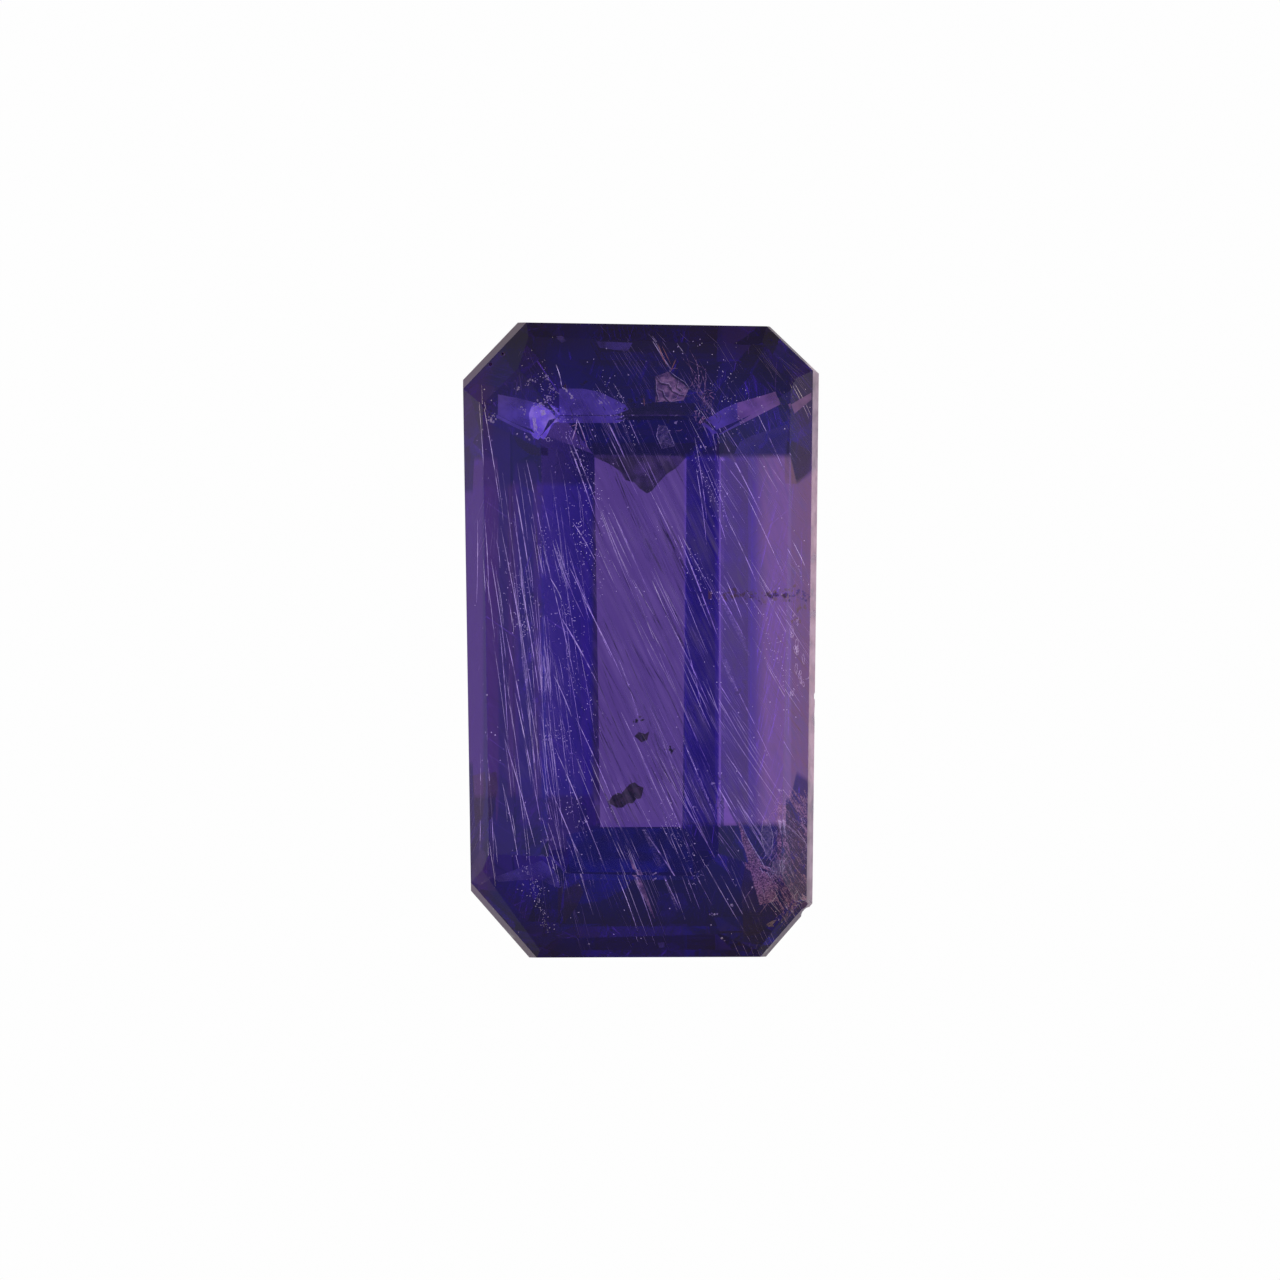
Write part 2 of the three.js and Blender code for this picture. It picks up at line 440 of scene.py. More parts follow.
lines = mottle(tree, place, STREAK_GRAIN, 4, SILK_IN_PLAN, STREAK_STRETCH)
streaks = spread(tree, lines, *STREAK_PATCHES)
clouds = spread(tree, mottle(tree, place, CLOUD_GRAIN), *CLOUD_PATCHES, 0, STREAK_SHARE)
share = maths(tree, "MULTIPLY", streaks, clouds)
share = maths(tree, "MULTIPLY", share, spread(tree, east, STREAKS_FROM, STREAKS_FULL, LEFT_STREAKS, 1))
haze = mix(tree, share, haze, STREAK_COLOUR)
print("streak length, in mm:", round(STREAK_GRAIN * STREAK_STRETCH / MM, 2))

# %% [markdown]
# Beyond its reach the haze doesn't stop dead. A faint blue veil goes on to the tips and a slightly
# stronger one along the rims, and it dies away at the very ends.

# %% Faint haze at the ends
HAZE_FADE = 0.04 * MM
FAINT_HAZE = (0.001, 0.0, 0.033)
RIM_HAZE = (0.014, 0.0, 0.03)
TIP_HAZE = (0.003, 0.0, 0.001)
TIP_HAZE_FROM = 3.26 * MM
TIP_HAZE_FULL = 4.3 * MM

faint = mix(tree, spread(tree, sideways, RIM_FROM, RIM_FULL), FAINT_HAZE, RIM_HAZE)
beyond = mix(tree, spread(tree, from_middle, TIP_HAZE_FROM, TIP_HAZE_FULL), faint, TIP_HAZE)
haze = mix(tree, spread(tree, inside, -HAZE_FADE, HAZE_FADE), beyond, haze)
print("haze fades over, in mm:", round(2 * HAZE_FADE / MM, 2))

# %% [markdown]
# A row of dark crumbs lies right under the right crown, and stops the haze in small spots. The spots
# are the peaks of a fine noise, raised near the middle of the row so that more of them pass.

# %% Crumbs in the haze
CRUMB_ROW = 0.63 * MM
CRUMB_ROW_HALF_WIDTH = 0.13 * MM
CRUMB_ROW_FROM = 0.95 * MM
CRUMB_ROW_LIFT = 0.2
CRUMB_GRAIN = 0.075 * MM
CRUMB_PATCHES = (0.66, 0.72)
CRUMB_SHADE = (0.035, 0.012, 0.05)

off_row = maths(tree, "ABSOLUTE", maths(tree, "SUBTRACT", north, CRUMB_ROW))
row = spread(tree, off_row, 0, CRUMB_ROW_HALF_WIDTH, CRUMB_ROW_LIFT, 0)
row = maths(tree, "MULTIPLY", row, maths(tree, "GREATER_THAN", east, CRUMB_ROW_FROM))
peaks = maths(tree, "ADD", mottle(tree, place, CRUMB_GRAIN, 3), row)
crumbs_in_row = spread(tree, peaks, *CRUMB_PATCHES)
in_row = maths(tree, "GREATER_THAN", row, 0.0)
haze = mix(tree, maths(tree, "MULTIPLY", crumbs_in_row, in_row), haze, CRUMB_SHADE)
print("crumb row at Y, in mm:", round(CRUMB_ROW / MM, 2))

# %% [markdown]
# Only the faces that look up glow: the table and the facets of the crown. From the side and from
# below the stone is left to its own clear body.

# %% Haze on the crown
CROWN_FACES_UP = 0.2

facing = tree.nodes.new("ShaderNodeSeparateXYZ")
tree.links.new(tree.nodes.new("ShaderNodeNewGeometry").outputs["Normal"], facing.inputs[0])
on_crown = maths(tree, "GREATER_THAN", facing.outputs["Z"], CROWN_FACES_UP)
tree.links.new(mix(tree, on_crown, (0, 0, 0), haze), surface.inputs["Emission Color"])
surface.inputs["Emission Strength"].default_value = 1
print("nodes in the sapphire finish, with its haze:", len(tree.nodes))

# %% [markdown]
# ## Where a thing inside the stone shows
# A ray from the camera bends as it enters the stone, so a crystal under a sloping facet isn't
# straight below the place where it is seen. To put each inclusion where the photo shows it, the
# helper below follows a ray down, bends it at the facet it meets, and stops at the asked height. It
# also keeps every point a little way inside the stone. All inclusions are worked out in
# millimetres, and turned into metres when their mesh is made.

# %% Aim through the facets
DOWN = Vector((0, 0, -1))
SKIN = 0.012
ABOVE = 10
STEP_OFF = 1e-4

shell = BVHTree.FromPolygons(
    [vertex.co / MM for vertex in stone.data.vertices],
    [polygon.vertices for polygon in stone.data.polygons],
)


def bend(way, normal):
    """The way that a ray takes once it has entered the stone through a face with this normal."""
    share = 1 / SAPPHIRE_IOR
    cosine = -way.dot(normal)
    inner = math.sqrt(1 - share * share * (1 - cosine * cosine))
    return (share * way + (share * cosine - inner) * normal).normalized()


def room_ahead(point, way):
    """How far it is from a point inside the stone to its surface, in mm."""
    start = point + way * STEP_OFF
    distance = shell.ray_cast(start, way)[3]
    return 0 if distance is None else distance


def under(x, y, height):
    """The point at this height inside the stone that the photo shows at (x, y), None beside it."""
    hit, normal, _, _ = shell.ray_cast(Vector((x, y, ABOVE)), DOWN)
    if hit is None:
        return None
    inward = bend(DOWN, normal)
    room = room_ahead(hit, inward)
    wanted = (hit.z - height) / -inward.z
    return hit + inward * max(min(wanted, room - SKIN), SKIN)


middle = under(0, 0, 1)
aside = under(1.8, 0, 1)
print("seen at x 0 and 1.8 mm, 1 mm up:", [round(c, 3) for c in middle], [round(c, 3) for c in aside])

# %% [markdown]
# ## Small bodies in one mesh
# Thousands of separate objects would be slow, so each kind of inclusion is one mesh, a heap of many
# small closed bodies. Four shapes are enough for all of them. The first is a thread, for needles and
# strings. It is a ring of points carried along a path, and it thins out at both ends.

# %% Heaps and threads
THREAD_TIP = 0.15


class Heap:
    """The points and faces of many small closed bodies, in mm."""

    def __init__(self):
        self.points = []
        self.faces = []


def add_ring(heap, centre, across, beside, radius, sides):
    """The points of one ring round a thread; returns the number of its first point."""
    first = len(heap.points)
    for i in range(sides):
        turn = math.tau * i / sides
        heap.points.append(centre + radius * (math.cos(turn) * across + math.sin(turn) * beside))
    return first


def add_thread(heap, path, radius, sides=3, round_trip=False):
    """A closed body along a path, thinning towards both ends, or a closed ring."""
    count = len(path)
    rings = []
    for i, point in enumerate(path):
        before, after = path[i - 1], path[(i + 1) % count]
        if not round_trip:
            before, after = path[max(i - 1, 0)], path[min(i + 1, count - 1)]
        along = (after - before).normalized()
        across = across - along * across.dot(along) if rings else along.orthogonal()
        across = across.normalized()
        end = min(i, count - 1 - i) / max(1, (count - 1) / 2)
        size = radius if round_trip else radius * (THREAD_TIP + (1 - THREAD_TIP) * min(1, end * 2))
        rings.append(add_ring(heap, point, across, along.cross(across), size, sides))
    pairs = list(zip(rings, rings[1:]))
    if round_trip:
        pairs.append((rings[-1], rings[0]))
    for low, high in pairs:
        for i in range(sides):
            j = (i + 1) % sides
            heap.faces.append((low + i, low + j, high + j, high + i))
    if not round_trip:
        heap.faces.append(tuple(rings[0] + i for i in reversed(range(sides))))
        heap.faces.append(tuple(rings[-1] + i for i in range(sides)))


sample = Heap()
add_thread(sample, [Vector((0, 0, 0)), Vector((0, 0, 1))], 0.1)
print("a short thread has", len(sample.points), "points and", len(sample.faces), "faces")

# %% [markdown]
# A flake is a thin crumpled sheet between two edges, for cracks. Both of its faces are grids of the
# same points, a little apart, and it is thinnest at its rim. Slow waves and finer ripples crumple it.

# %% Flakes
WAVE_STEPS = 9
RIPPLE_STEPS = 30
RIPPLE_SHARE = 0.4
RIM_THINNING = 3


def along_path(path, share):
    """The point this share of the way along a path, counted by its points."""
    spot = share * (len(path) - 1)
    i = min(int(spot), len(path) - 2)
    return path[i].lerp(path[i + 1], spot - i)


def flake_face(left, right, rows, columns, crumple, seed, lift):
    """The grid of points of one face of a flake, lifted by half its thickness."""
    grid = []
    for r in range(rows + 1):
        a, b = along_path(left, r / rows), along_path(right, r / rows)
        for c in range(columns + 1):
            point = a.lerp(b, c / columns)
            wave = noise.noise(point * WAVE_STEPS + Vector((seed, 0, 0)))
            ripple = noise.noise(point * RIPPLE_STEPS + Vector((0, seed, 0))) * RIPPLE_SHARE
            at_rim = min(c, columns - c, r, rows - r) == 0
            half = lift / RIM_THINNING if at_rim else lift
            grid.append(point + Vector((0, 0, crumple * (wave + ripple) + half)))
    return grid


def add_flake(heap, left, right, rows, columns, thickness, crumple, seed):
    """A thin closed sheet between two edges, each a list of points."""
    first = len(heap.points)
    for lift in (thickness / 2, -thickness / 2):
        heap.points.extend(flake_face(left, right, rows, columns, crumple, seed, lift))
    wide = columns + 1
    other = first + wide * (rows + 1)
    for r in range(rows):
        for c in range(columns):
            a = r * wide + c
            heap.faces.append((first + a, first + a + 1, first + a + wide + 1, first + a + wide))
            heap.faces.append((other + a, other + a + wide, other + a + wide + 1, other + a + 1))
    rim = list(range(wide)) + [r * wide + columns for r in range(1, rows + 1)]
    rim += [rows * wide + c for c in reversed(range(columns))]
    rim += [r * wide for r in reversed(range(1, rows))]
    for a, b in zip(rim, rim[1:] + rim[:1]):
        heap.faces.append((first + a, other + a, other + b, first + b))


print("a flake waves every", round(1 / WAVE_STEPS, 2), "mm")
print("and ripples every", round(1 / RIPPLE_STEPS, 2), "mm")

# %% [markdown]
# A speck is an eight-sided grain, for pinpoints. A lump is a little flat-faced crystal: copies of an
# outline in layers, the top and bottom ones drawn in towards the middle.

# %% Specks and lumps
SPECK_CORNERS = ((1, 0, 0), (0, 1, 0), (-1, 0, 0), (0, -1, 0), (0, 0, 1), (0, 0, -1))
LUMP_LAYERS = ((1, 0), (0, 0.35), (0, 0.75), (1.6, 1))


def add_speck(heap, centre, size):
    """An eight-sided grain."""
    first = len(heap.points)
    for way in SPECK_CORNERS:
        heap.points.append(centre + Vector(way) * size)
    for i in range(4):
        j = (i + 1) % 4
        heap.faces.append((first + i, first + j, first + 4))
        heap.faces.append((first + j, first + i, first + 5))


def add_lump(heap, outline, depth, bevel):
    """A flat-faced crystal under an outline, its top and bottom drawn in by its bevel."""
    centre = sum(outline, Vector()) / len(outline)
    first = len(heap.points)
    for inset, drop in LUMP_LAYERS:
        for point in outline:
            heap.points.append(point.lerp(centre, inset * bevel) - Vector((0, 0, drop * depth)))
    count = len(outline)
    last = len(LUMP_LAYERS) - 1
    for ring in range(last):
        for i in range(count):
            j = (i + 1) % count
            a = first + ring * count
            heap.faces.append((a + i, a + j, a + count + j, a + count + i))
    heap.faces.append(tuple(first + i for i in reversed(range(count))))
    heap.faces.append(tuple(first + last * count + i for i in range(count)))


print("layers of a lump:", len(LUMP_LAYERS))

# %% [markdown]
# Once a heap is full, its bodies become one mesh in one object. The object rides with the stone, so
# that it would follow if the stone were moved.

# %% From a heap to a piece


def make_piece(name, heap, finish):
    """Joins a heap's bodies into one object that rides with the stone."""
    mesh = bpy.data.meshes.new(name)
    mesh.from_pydata([point * MM for point in heap.points], [], heap.faces)
    mesh.validate()
    piece = bpy.data.objects.new(name, mesh)
    bpy.context.scene.collection.objects.link(piece)
    bodies = bmesh.new()
    bodies.from_mesh(mesh)
    bmesh.ops.recalc_face_normals(bodies, faces=bodies.faces)
    bodies.to_mesh(mesh)
    bodies.free()
    mesh.materials.append(finish)
    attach(piece, "root")
    print(name, len(mesh.polygons), "faces")
    return piece


# %% [markdown]
# ## The look of an inclusion
# Silk, cracks and pinpoints are pale and lit by whatever light reaches them inside the stone. Some
# of that light is scattered many times in a way that is too slow to follow, so each finish adds a
# faint glow in its own colours. They aren't solid either: they fade in and out, so the cover runs
# between two limits. One recipe makes every one of these finishes, from its two colours, its glow,
# the size of its grain and how far it fades.

# %% Inclusion finish
COLOUR_PATCHES = (0.4, 0.6)
COVER_PATCHES = (0.36, 0.62)
COVER_GRAIN_SHARE = 0.45


def inclusion_finish(name, pale, deep, glow, grain, fade, roughness=0.4):
    """A partly see-through finish of two colours, in patches of about grain millimetres."""
    material, tree, output = new_material(name)
    surface = tree.nodes.new("ShaderNodeBsdfPrincipled")
    tree.links.new(surface.outputs[0], output.inputs["Surface"])
    place, _ = place_in(tree)
    patches = spread(tree, mottle(tree, place, grain * MM), *COLOUR_PATCHES)
    colour = mix(tree, patches, deep, pale)
    tree.links.new(colour, surface.inputs["Base Color"])
    tree.links.new(colour, surface.inputs["Emission Color"])
    surface.inputs["Emission Strength"].default_value = glow
    fine = mottle(tree, place, grain * COVER_GRAIN_SHARE * MM, 2)
    tree.links.new(spread(tree, fine, *COVER_PATCHES, *fade), surface.inputs["Alpha"])
    surface.inputs["Roughness"].default_value = roughness
    return material


print("colours change between", *COLOUR_PATCHES, "and cover between", *COVER_PATCHES)

# %% [markdown]
# ## Silk
# Rutile grew as long needles while the sapphire did, all lying nearly one way: down to the front
# right and steeply into the stone. Through the flat table the needles lean 25 degrees in the photo,
# through the right crown more, and through the left crown much less. Most of that comes from the
# facets, which bend the view, and the needles themselves stand a little more upright towards the
# left. So every needle gets the one direction, less its lean on the left, with a little scatter.

# %% The way of the silk
SILK_WAY = Vector((0.466, -1.0, -1.4)).normalized()
SILK_SCATTER = 0.03
UPRIGHT_AT = -2.7
LEANING_AT = -0.4
LEAST_LEAN = 0.15


def silk_way(draw, x):
    """The silk's direction x millimetres across the stone, with its small scatter."""
    lean = min(max((x - UPRIGHT_AT) / (LEANING_AT - UPRIGHT_AT), LEAST_LEAN), 1)
    stray = Vector([draw.gauss(0, SILK_SCATTER) for _ in range(3)])
    return (Vector((SILK_WAY.x * lean, SILK_WAY.y, SILK_WAY.z)) + stray).normalized()


print("silk leans, in degrees from upright:", round(math.degrees(SILK_WAY.angle(DOWN))))

# %% [markdown]
# A needle that comes near a facet ends there, so each one is cut to the room it has, both up and
# down its way, and one that would be too short is left out.

# %% One needle
SHORTEST_NEEDLE = 0.1
NEEDLE_BOW = 0.004


def within(point):
    """Whether a point is inside the stone."""
    _, above, _, _ = shell.ray_cast(point, -DOWN)
    _, below, _, _ = shell.ray_cast(point, DOWN)
    return above is not None and below is not None and above.z > 0 > below.z


def lay_needle(heap, middle, way, half, radius):
    """One needle through a point, cut short where the stone ends."""
    up_room = min(half, room_ahead(middle, -way) - SKIN)
    down_room = min(half, room_ahead(middle, way) - SKIN)
    if up_room + down_room < SHORTEST_NEEDLE:
        return
    start, end = middle - way * up_room, middle + way * down_room
    bow = way.orthogonal().normalized() * (end - start).length * NEEDLE_BOW
    add_thread(heap, [start, start.lerp(end, 0.33) + bow, start.lerp(end, 0.67) + bow, end], radius)


print("shortest needle, in mm:", SHORTEST_NEEDLE)

# %% [markdown]
# The needles come in loose sheaves, so the middles of the sheaves are scattered first and the
# needles gather around them. The two tables say how likely a sheaf is, up to each X and up to each
# Y in mm: most in the middle, few on the left, where a comb of needles follows, and few at both
# ends.

# %% Sheaves
STONE_HALF_WIDTH = 2.4
STONE_HALF_LENGTH = 4.3
SHEAF_HEIGHTS = (1.7, 3.35)
SILK_ACROSS = ((-2.15, 0.0), (-1.3, 0.07), (-0.7, 0.15), (0.9, 0.8), (math.inf, 0.4))
SILK_ALONG = ((-3.0, 0.15), (3.0, 1.0), (math.inf, 0.5))
chance = random.Random(11)


def silk_thickness(x, y):
    """How likely a sheaf is at a spot."""
    side = next(share for limit, share in SILK_ACROSS if x < limit)
    return side * next(share for limit, share in SILK_ALONG if y < limit)


def grow_sheaves(heap, draw, sheaves, needles, loose, lengths, radii):
    """Scatters sheaves of needles through the stone."""
    for _ in range(sheaves):
        x = draw.uniform(-STONE_HALF_WIDTH, STONE_HALF_WIDTH)
        y = draw.uniform(-STONE_HALF_LENGTH, STONE_HALF_LENGTH)
        centre = under(x, y, draw.uniform(*SHEAF_HEIGHTS))
        if centre is None or draw.random() > silk_thickness(x, y):
            continue
        for _ in range(draw.randint(*needles)):
            middle = centre + Vector([draw.gauss(0, loose) for _ in range(3)])
            if within(middle):
                half = draw.uniform(*lengths) / 2
                lay_needle(heap, middle, silk_way(draw, middle.x), half, draw.uniform(*radii))


print("sheaves lie at heights, in mm:", *SHEAF_HEIGHTS)

# %% [markdown]
# The silk comes in three strengths, each with its own number of sheaves, needles to a sheaf, spread
# of a sheaf, lengths and radii, all in mm. Fine silk has the most sheaves and the thinnest needles,
# and bright silk the longest ones.

# %% Sheaves in three strengths
SHEAVES = {
    "fine_silk": (300, (3, 9), 0.17, (0.4, 2.0), (0.0024, 0.0042)),
    "bright_silk": (120, (1, 4), 0.12, (0.6, 3.4), (0.003, 0.0058)),
    "painted_shade_silk": (220, (1, 5), 0.14, (0.4, 2.4), (0.004, 0.008)),
}
silk = {}
for name, habit in SHEAVES.items():
    silk[name] = Heap()
    grow_sheaves(silk[name], chance, *habit)
    print(name, "points:", len(silk[name].points))

# %% [markdown]
# The sheaves are dressed in three strengths. Fine silk is faint and mostly seen through, bright
# silk is nearly white with a hint of violet, and dark silk is painted shade: the same needle seen
# against its shaded side.

# %% Dress the silk
LAVENDER = (0.8, 0.71, 0.97)
NEAR_WHITE = (0.95, 0.91, 1.0)
DEEP_VIOLET = (0.45, 0.34, 0.72)
NIGHT = (0.03, 0.02, 0.09)
SHADED_VIOLET = (0.1, 0.05, 0.25)
SILK_LOOKS = {
    "fine_silk": (LAVENDER, DEEP_VIOLET, 0.16, 0.9, (0.0, 0.65)),
    "bright_silk": (NEAR_WHITE, LAVENDER, 0.5, 0.8, (0.05, 1.0)),
    # Painted shade: the dark silk is the needle in shaded colours, with no glow.
    "painted_shade_silk": (SHADED_VIOLET, NIGHT, 0, 0.8, (0.0, 0.7)),
}

for name, finish in SILK_LOOKS.items():
    make_piece(name, silk[name], inclusion_finish(name, *finish))

# %% [markdown]
# ## The long needles that stand out
# Some needles are bright enough to be known one by one. Each is written down as the photo shows it.
# A row gives the height of its upper end, its strength from 1 for faint to 3 for bright, and then
# its two ends as seen from above, all in mm from the stone's middle.

# %% Long needles
LONG_NEEDLES = [
    (3.2, 3, -1.06, 2.88, -0.64, 1.70), (3.2, 2, -1.02, 2.90, -0.60, 1.85),
    (3.2, 2, -0.90, 3.13, -0.98, 2.82), (3.2, 2, -0.90, 3.12, -0.76, 2.72),
    (3.0, 2, -2.25, 3.61, -1.99, 1.89), (3.2, 3, -1.20, 3.89, -1.12, 3.58),
    (3.1, 2, 1.13, 2.88, 1.73, 1.73), (3.2, 2, 0.76, 2.86, 1.23, 1.69),
    (3.0, 1, 2.14, 3.65, 2.41, 3.17), (3.0, 1, 2.10, 3.63, 2.38, 3.13),
    (3.1, 1, 1.52, 3.42, 2.05, 2.35), (3.1, 1, 0.92, 3.35, 1.35, 2.45),
    (2.7, 2, -2.31, 1.70, -2.15, 0.53), (2.6, 2, -2.0, 0.19, -1.88, -1.41),
    (2.6, 3, -1.91, 0.11, -1.64, -1.28), (2.9, 2, -1.98, 1.60, -1.52, -0.88),
    (3.0, 2, -1.50, 1.50, -0.92, -0.62), (3.2, 3, -1.28, 0.87, -1.12, 0.57),
    (3.1, 2, -0.96, 1.66, -0.63, 1.10), (3.1, 2, -1.24, -0.48, -0.98, -1.08),
    (2.6, 2, -0.31, -0.28, -0.01, -1.18), (3.0, 3, -1.12, 0.31, -0.63, -0.58),
    (3.0, 3, 0.52, 1.50, 1.10, 0.01), (3.1, 2, 1.22, 1.70, 1.63, 0.83),
    (3.0, 2, 1.10, 0.91, 1.47, 0.19), (3.1, 1, 2.13, 1.42, 2.35, 0.97),
    (2.9, 2, -1.92, -1.41, -1.49, -2.93), (2.7, 2, -2.27, -1.61, -2.06, -3.36),
    (3.1, 3, -1.21, -1.53, -0.5, -3.24), (3.0, 3, -1.29, -2.08, -0.81, -3.24),
    (3.2, 2, -0.34, -3.32, -0.05, -4.11), (3.1, 3, 0.59, -1.41, 1.08, -2.59),
    (3.1, 2, 0.23, -1.94, 0.70, -3.0), (3.0, 3, 0.03, -2.67, 0.55, -3.81),
    (3.0, 1, 1.20, -1.61, 1.61, -2.23), (2.9, 3, -1.80, 2.25, -1.55, 0.75),
    (2.9, 2, -1.62, 2.55, -1.40, 1.45), (2.9, 3, -1.72, 0.95, -1.44, -0.75),
    (2.9, 2, -1.66, -0.35, -1.30, -2.25), (2.9, 3, -1.78, -0.75, -1.42, -2.55),
    (2.8, 2, -1.95, -2.05, -1.72, -3.25), (2.8, 2, -2.12, 1.15, -1.90, -0.35),
    (3.1, 2, -1.02, 1.05, -0.42, -0.25), (3.1, 2, -0.83, 0.62, -0.27, -0.52),
    (3.1, 1, -0.45, 1.92, 0.05, 0.80), (3.1, 1, 0.12, 2.12, 0.70, 0.92),
    (3.1, 2, 0.36, 0.35, 0.98, -0.95), (3.1, 1, 0.60, 0.12, 1.22, -1.12),
    (3.0, 1, 1.45, 2.12, 2.02, 0.92), (3.0, 1, 1.15, -0.30, 1.85, -1.70),
    (3.1, 2, -0.92, -1.10, -0.38, -2.32), (3.1, 1, -0.28, -1.02, 0.22, -2.12),
    (3.1, 2, 0.78, 2.42, 1.22, 1.35), (3.0, 2, -0.62, 3.42, -0.22, 2.55),
]
print("long needles:", len(LONG_NEEDLES))

# %% [markdown]
# The helper finds both ends inside the stone, the far end sunk at the silk's own slope but never
# through the bottom, and strings one slightly bowed needle between them. On the left the needles
# lie nearly level. Steep ones would show there a second time, mirrored by the facets below, as
# crossing lines that the photo doesn't have.

# %% String the long needles
SILK_SINK = 1.4
LEVEL_SINK = 0.25
LEVEL_LEFT_OF = -1.15
FLOOR_ROOM = 0.08
STRING_BOW = 0.05
NEEDLE_RADII = {1: 0.004, 2: 0.0055, 3: 0.008}
NEEDLE_STEPS = 7


def floor_under(x, y):
    """The lowest height inside the stone that can be shown at a spot."""
    return under(x, y, 0).z


def string_needle(heap, x, y, end_x, end_y, height, radius):
    """A straight needle between two ends given as seen from above."""
    sink = LEVEL_SINK if x < LEVEL_LEFT_OF else SILK_SINK
    sunk = height - sink * abs(end_y - y)
    start = under(x, y, max(height, floor_under(x, y) + FLOOR_ROOM))
    end = under(end_x, end_y, max(sunk, floor_under(end_x, end_y) + FLOOR_ROOM))
    path = []
    for i in range(NEEDLE_STEPS + 1):
        share = i / NEEDLE_STEPS
        bow = STRING_BOW * share * (1 - share)
        path.append(start.lerp(end, share) + Vector((bow, 0, 0)))
    add_thread(heap, path, radius, 4)


long_silk = Heap()
for height, strength, *ends in LONG_NEEDLES:
    string_needle(long_silk, *ends, height, NEEDLE_RADII[strength])
print("points of the long needles:", len(long_silk.points))

# %% [markdown]
# Under the left crown the needles run side by side like a comb, nearly along the stone. The photo
# fixes only how they look from above, so the comb is strung the same way as the needles above, at
# random places with a small lean.

# %% The comb on the left
COMB = (-2.2, -0.8, -2.9, 2.5)
COMB_NEEDLES = 85
COMB_HEIGHT = 3.1
COMB_LENGTHS = (0.3, 1.9)
COMB_SHORTEST = 0.2
COMB_RADII = (0.0016, 0.0034)
COMB_LEAN = 0.13
COMB_SCATTER = 0.02
COMB_OVERRUN = 0.6

left, right, front, back = COMB
for _ in range(COMB_NEEDLES):
    x = chance.uniform(left, right)
    y = chance.uniform(front, back)
    length = chance.uniform(*COMB_LENGTHS)
    end_x = x + length * (COMB_LEAN + chance.gauss(0, COMB_SCATTER))
    end_y = max(y - length, front - COMB_OVERRUN)
    if end_y < y - COMB_SHORTEST:
        string_needle(long_silk, x, y, end_x, end_y, COMB_HEIGHT, chance.uniform(*COMB_RADII))
silk_long = inclusion_finish("long_needles", NEAR_WHITE, LAVENDER, 0.85, 0.5, (0.1, 1.0))
make_piece("long_needles", long_silk, silk_long)

# %% [markdown]
# ## Pinpoints
# Between the needles hang grains too small to have a shape: single bright dots, and clouds of them
# drawn out along the silk, thickest left of the middle. Each is one eight-sided speck, because a
# round ball that small would cost ten times the faces and look the same.

# %% Pinpoints
LOOSE_SPECKS = 260
LOOSE_HEIGHTS = (2.2, 3.4)
LOOSE_SIZES = (0.005, 0.011)
CLOUD_SPECKS = 60
CLOUD_HEIGHT = 3.1
CLOUD_DEPTH = 0.15
CLOUD_SIZES = (0.004, 0.008)
CLOUD_LEAN = 0.4
CLOUD_NARROWING = 0.35
CLOUDS = [
    (-1.75, 0.85, 0.22), (-1.15, 1.1, 0.2), (-0.8, 1.5, 0.25), (-1.7, 0.3, 0.2), (-0.85, 2.6, 0.25),
    (1.0, 2.2, 0.2), (-0.95, -2.4, 0.25), (-1.5, -3.5, 0.25), (-1.3, 3.5, 0.3), (0.6, -2.9, 0.3),
    (1.3, 3.4, 0.35), (-0.3, 3.2, 0.3), (2.0, -0.3, 0.3), (-0.75, 1.15, 0.3), (-1.0, 0.3, 0.25),
    (-0.9, -0.6, 0.3), (-1.1, -1.5, 0.3), (-0.65, 2.05, 0.25), (0.85, 0.9, 0.3),
]
pinpoints = Heap()


def strew(heap, x, y, height, sizes):
    """One speck at a spot seen from above, if the stone is there."""
    centre = under(x, y, height)
    if centre is not None:
        add_speck(heap, centre, chance.uniform(*sizes))


for _ in range(LOOSE_SPECKS):
    x = chance.uniform(-STONE_HALF_WIDTH, STONE_HALF_WIDTH)
    y = chance.uniform(-STONE_HALF_LENGTH, STONE_HALF_LENGTH)
    strew(pinpoints, x, y, chance.uniform(*LOOSE_HEIGHTS), LOOSE_SIZES)
for x, y, size in CLOUDS:
    for _ in range(CLOUD_SPECKS):
        along = chance.gauss(0, size)
        aside = chance.gauss(0, size * CLOUD_NARROWING) + along * CLOUD_LEAN
        height = CLOUD_HEIGHT + chance.gauss(0, CLOUD_DEPTH)
        strew(pinpoints, x + aside, y - along, height, CLOUD_SIZES)
dots = inclusion_finish("pinpoints", NEAR_WHITE, LAVENDER, 0.8, 0.3, (0.3, 1.0))
make_piece("pinpoints", pinpoints, dots)

# %% [markdown]
# ## Dark crystals
# Two dark brown crystals hang under the table near the front, with broken, flat-sided outlines. A
# dark patch on the table could fake them, but a real block of dark mineral also shows from the
# side. Each is a lump over the outline that the photo shows. Dark crumbs of the same mineral lie
# in a row behind the table and across the right side.

# %% Dark crystals
DARK_LARGE = [
    (-0.47, -2.30), (-0.40, -2.20), (-0.33, -2.16), (-0.28, -2.18), (-0.22, -2.10), (-0.16, -2.04),
    (-0.09, -2.01), (-0.03, -2.06), (0.04, -2.09), (0.02, -2.17), (0.0, -2.24), (-0.07, -2.25),
    (-0.11, -2.31), (-0.19, -2.31), (-0.26, -2.37), (-0.34, -2.37),
]
DARK_SMALL = [
    (-0.09, -1.36), (-0.03, -1.30), (0.06, -1.33), (0.12, -1.29), (0.09, -1.41), (0.01, -1.45),
]
DARK_TINY = [(-1.10, 3.59), (-1.06, 3.61), (-1.05, 3.55), (-1.09, 3.54)]
DARK_BLOCKS = [(DARK_LARGE, 2.4, 0.12), (DARK_SMALL, 2.3, 0.06), (DARK_TINY, 3.0, 0.03)]
DARK_BEVEL = 0.16


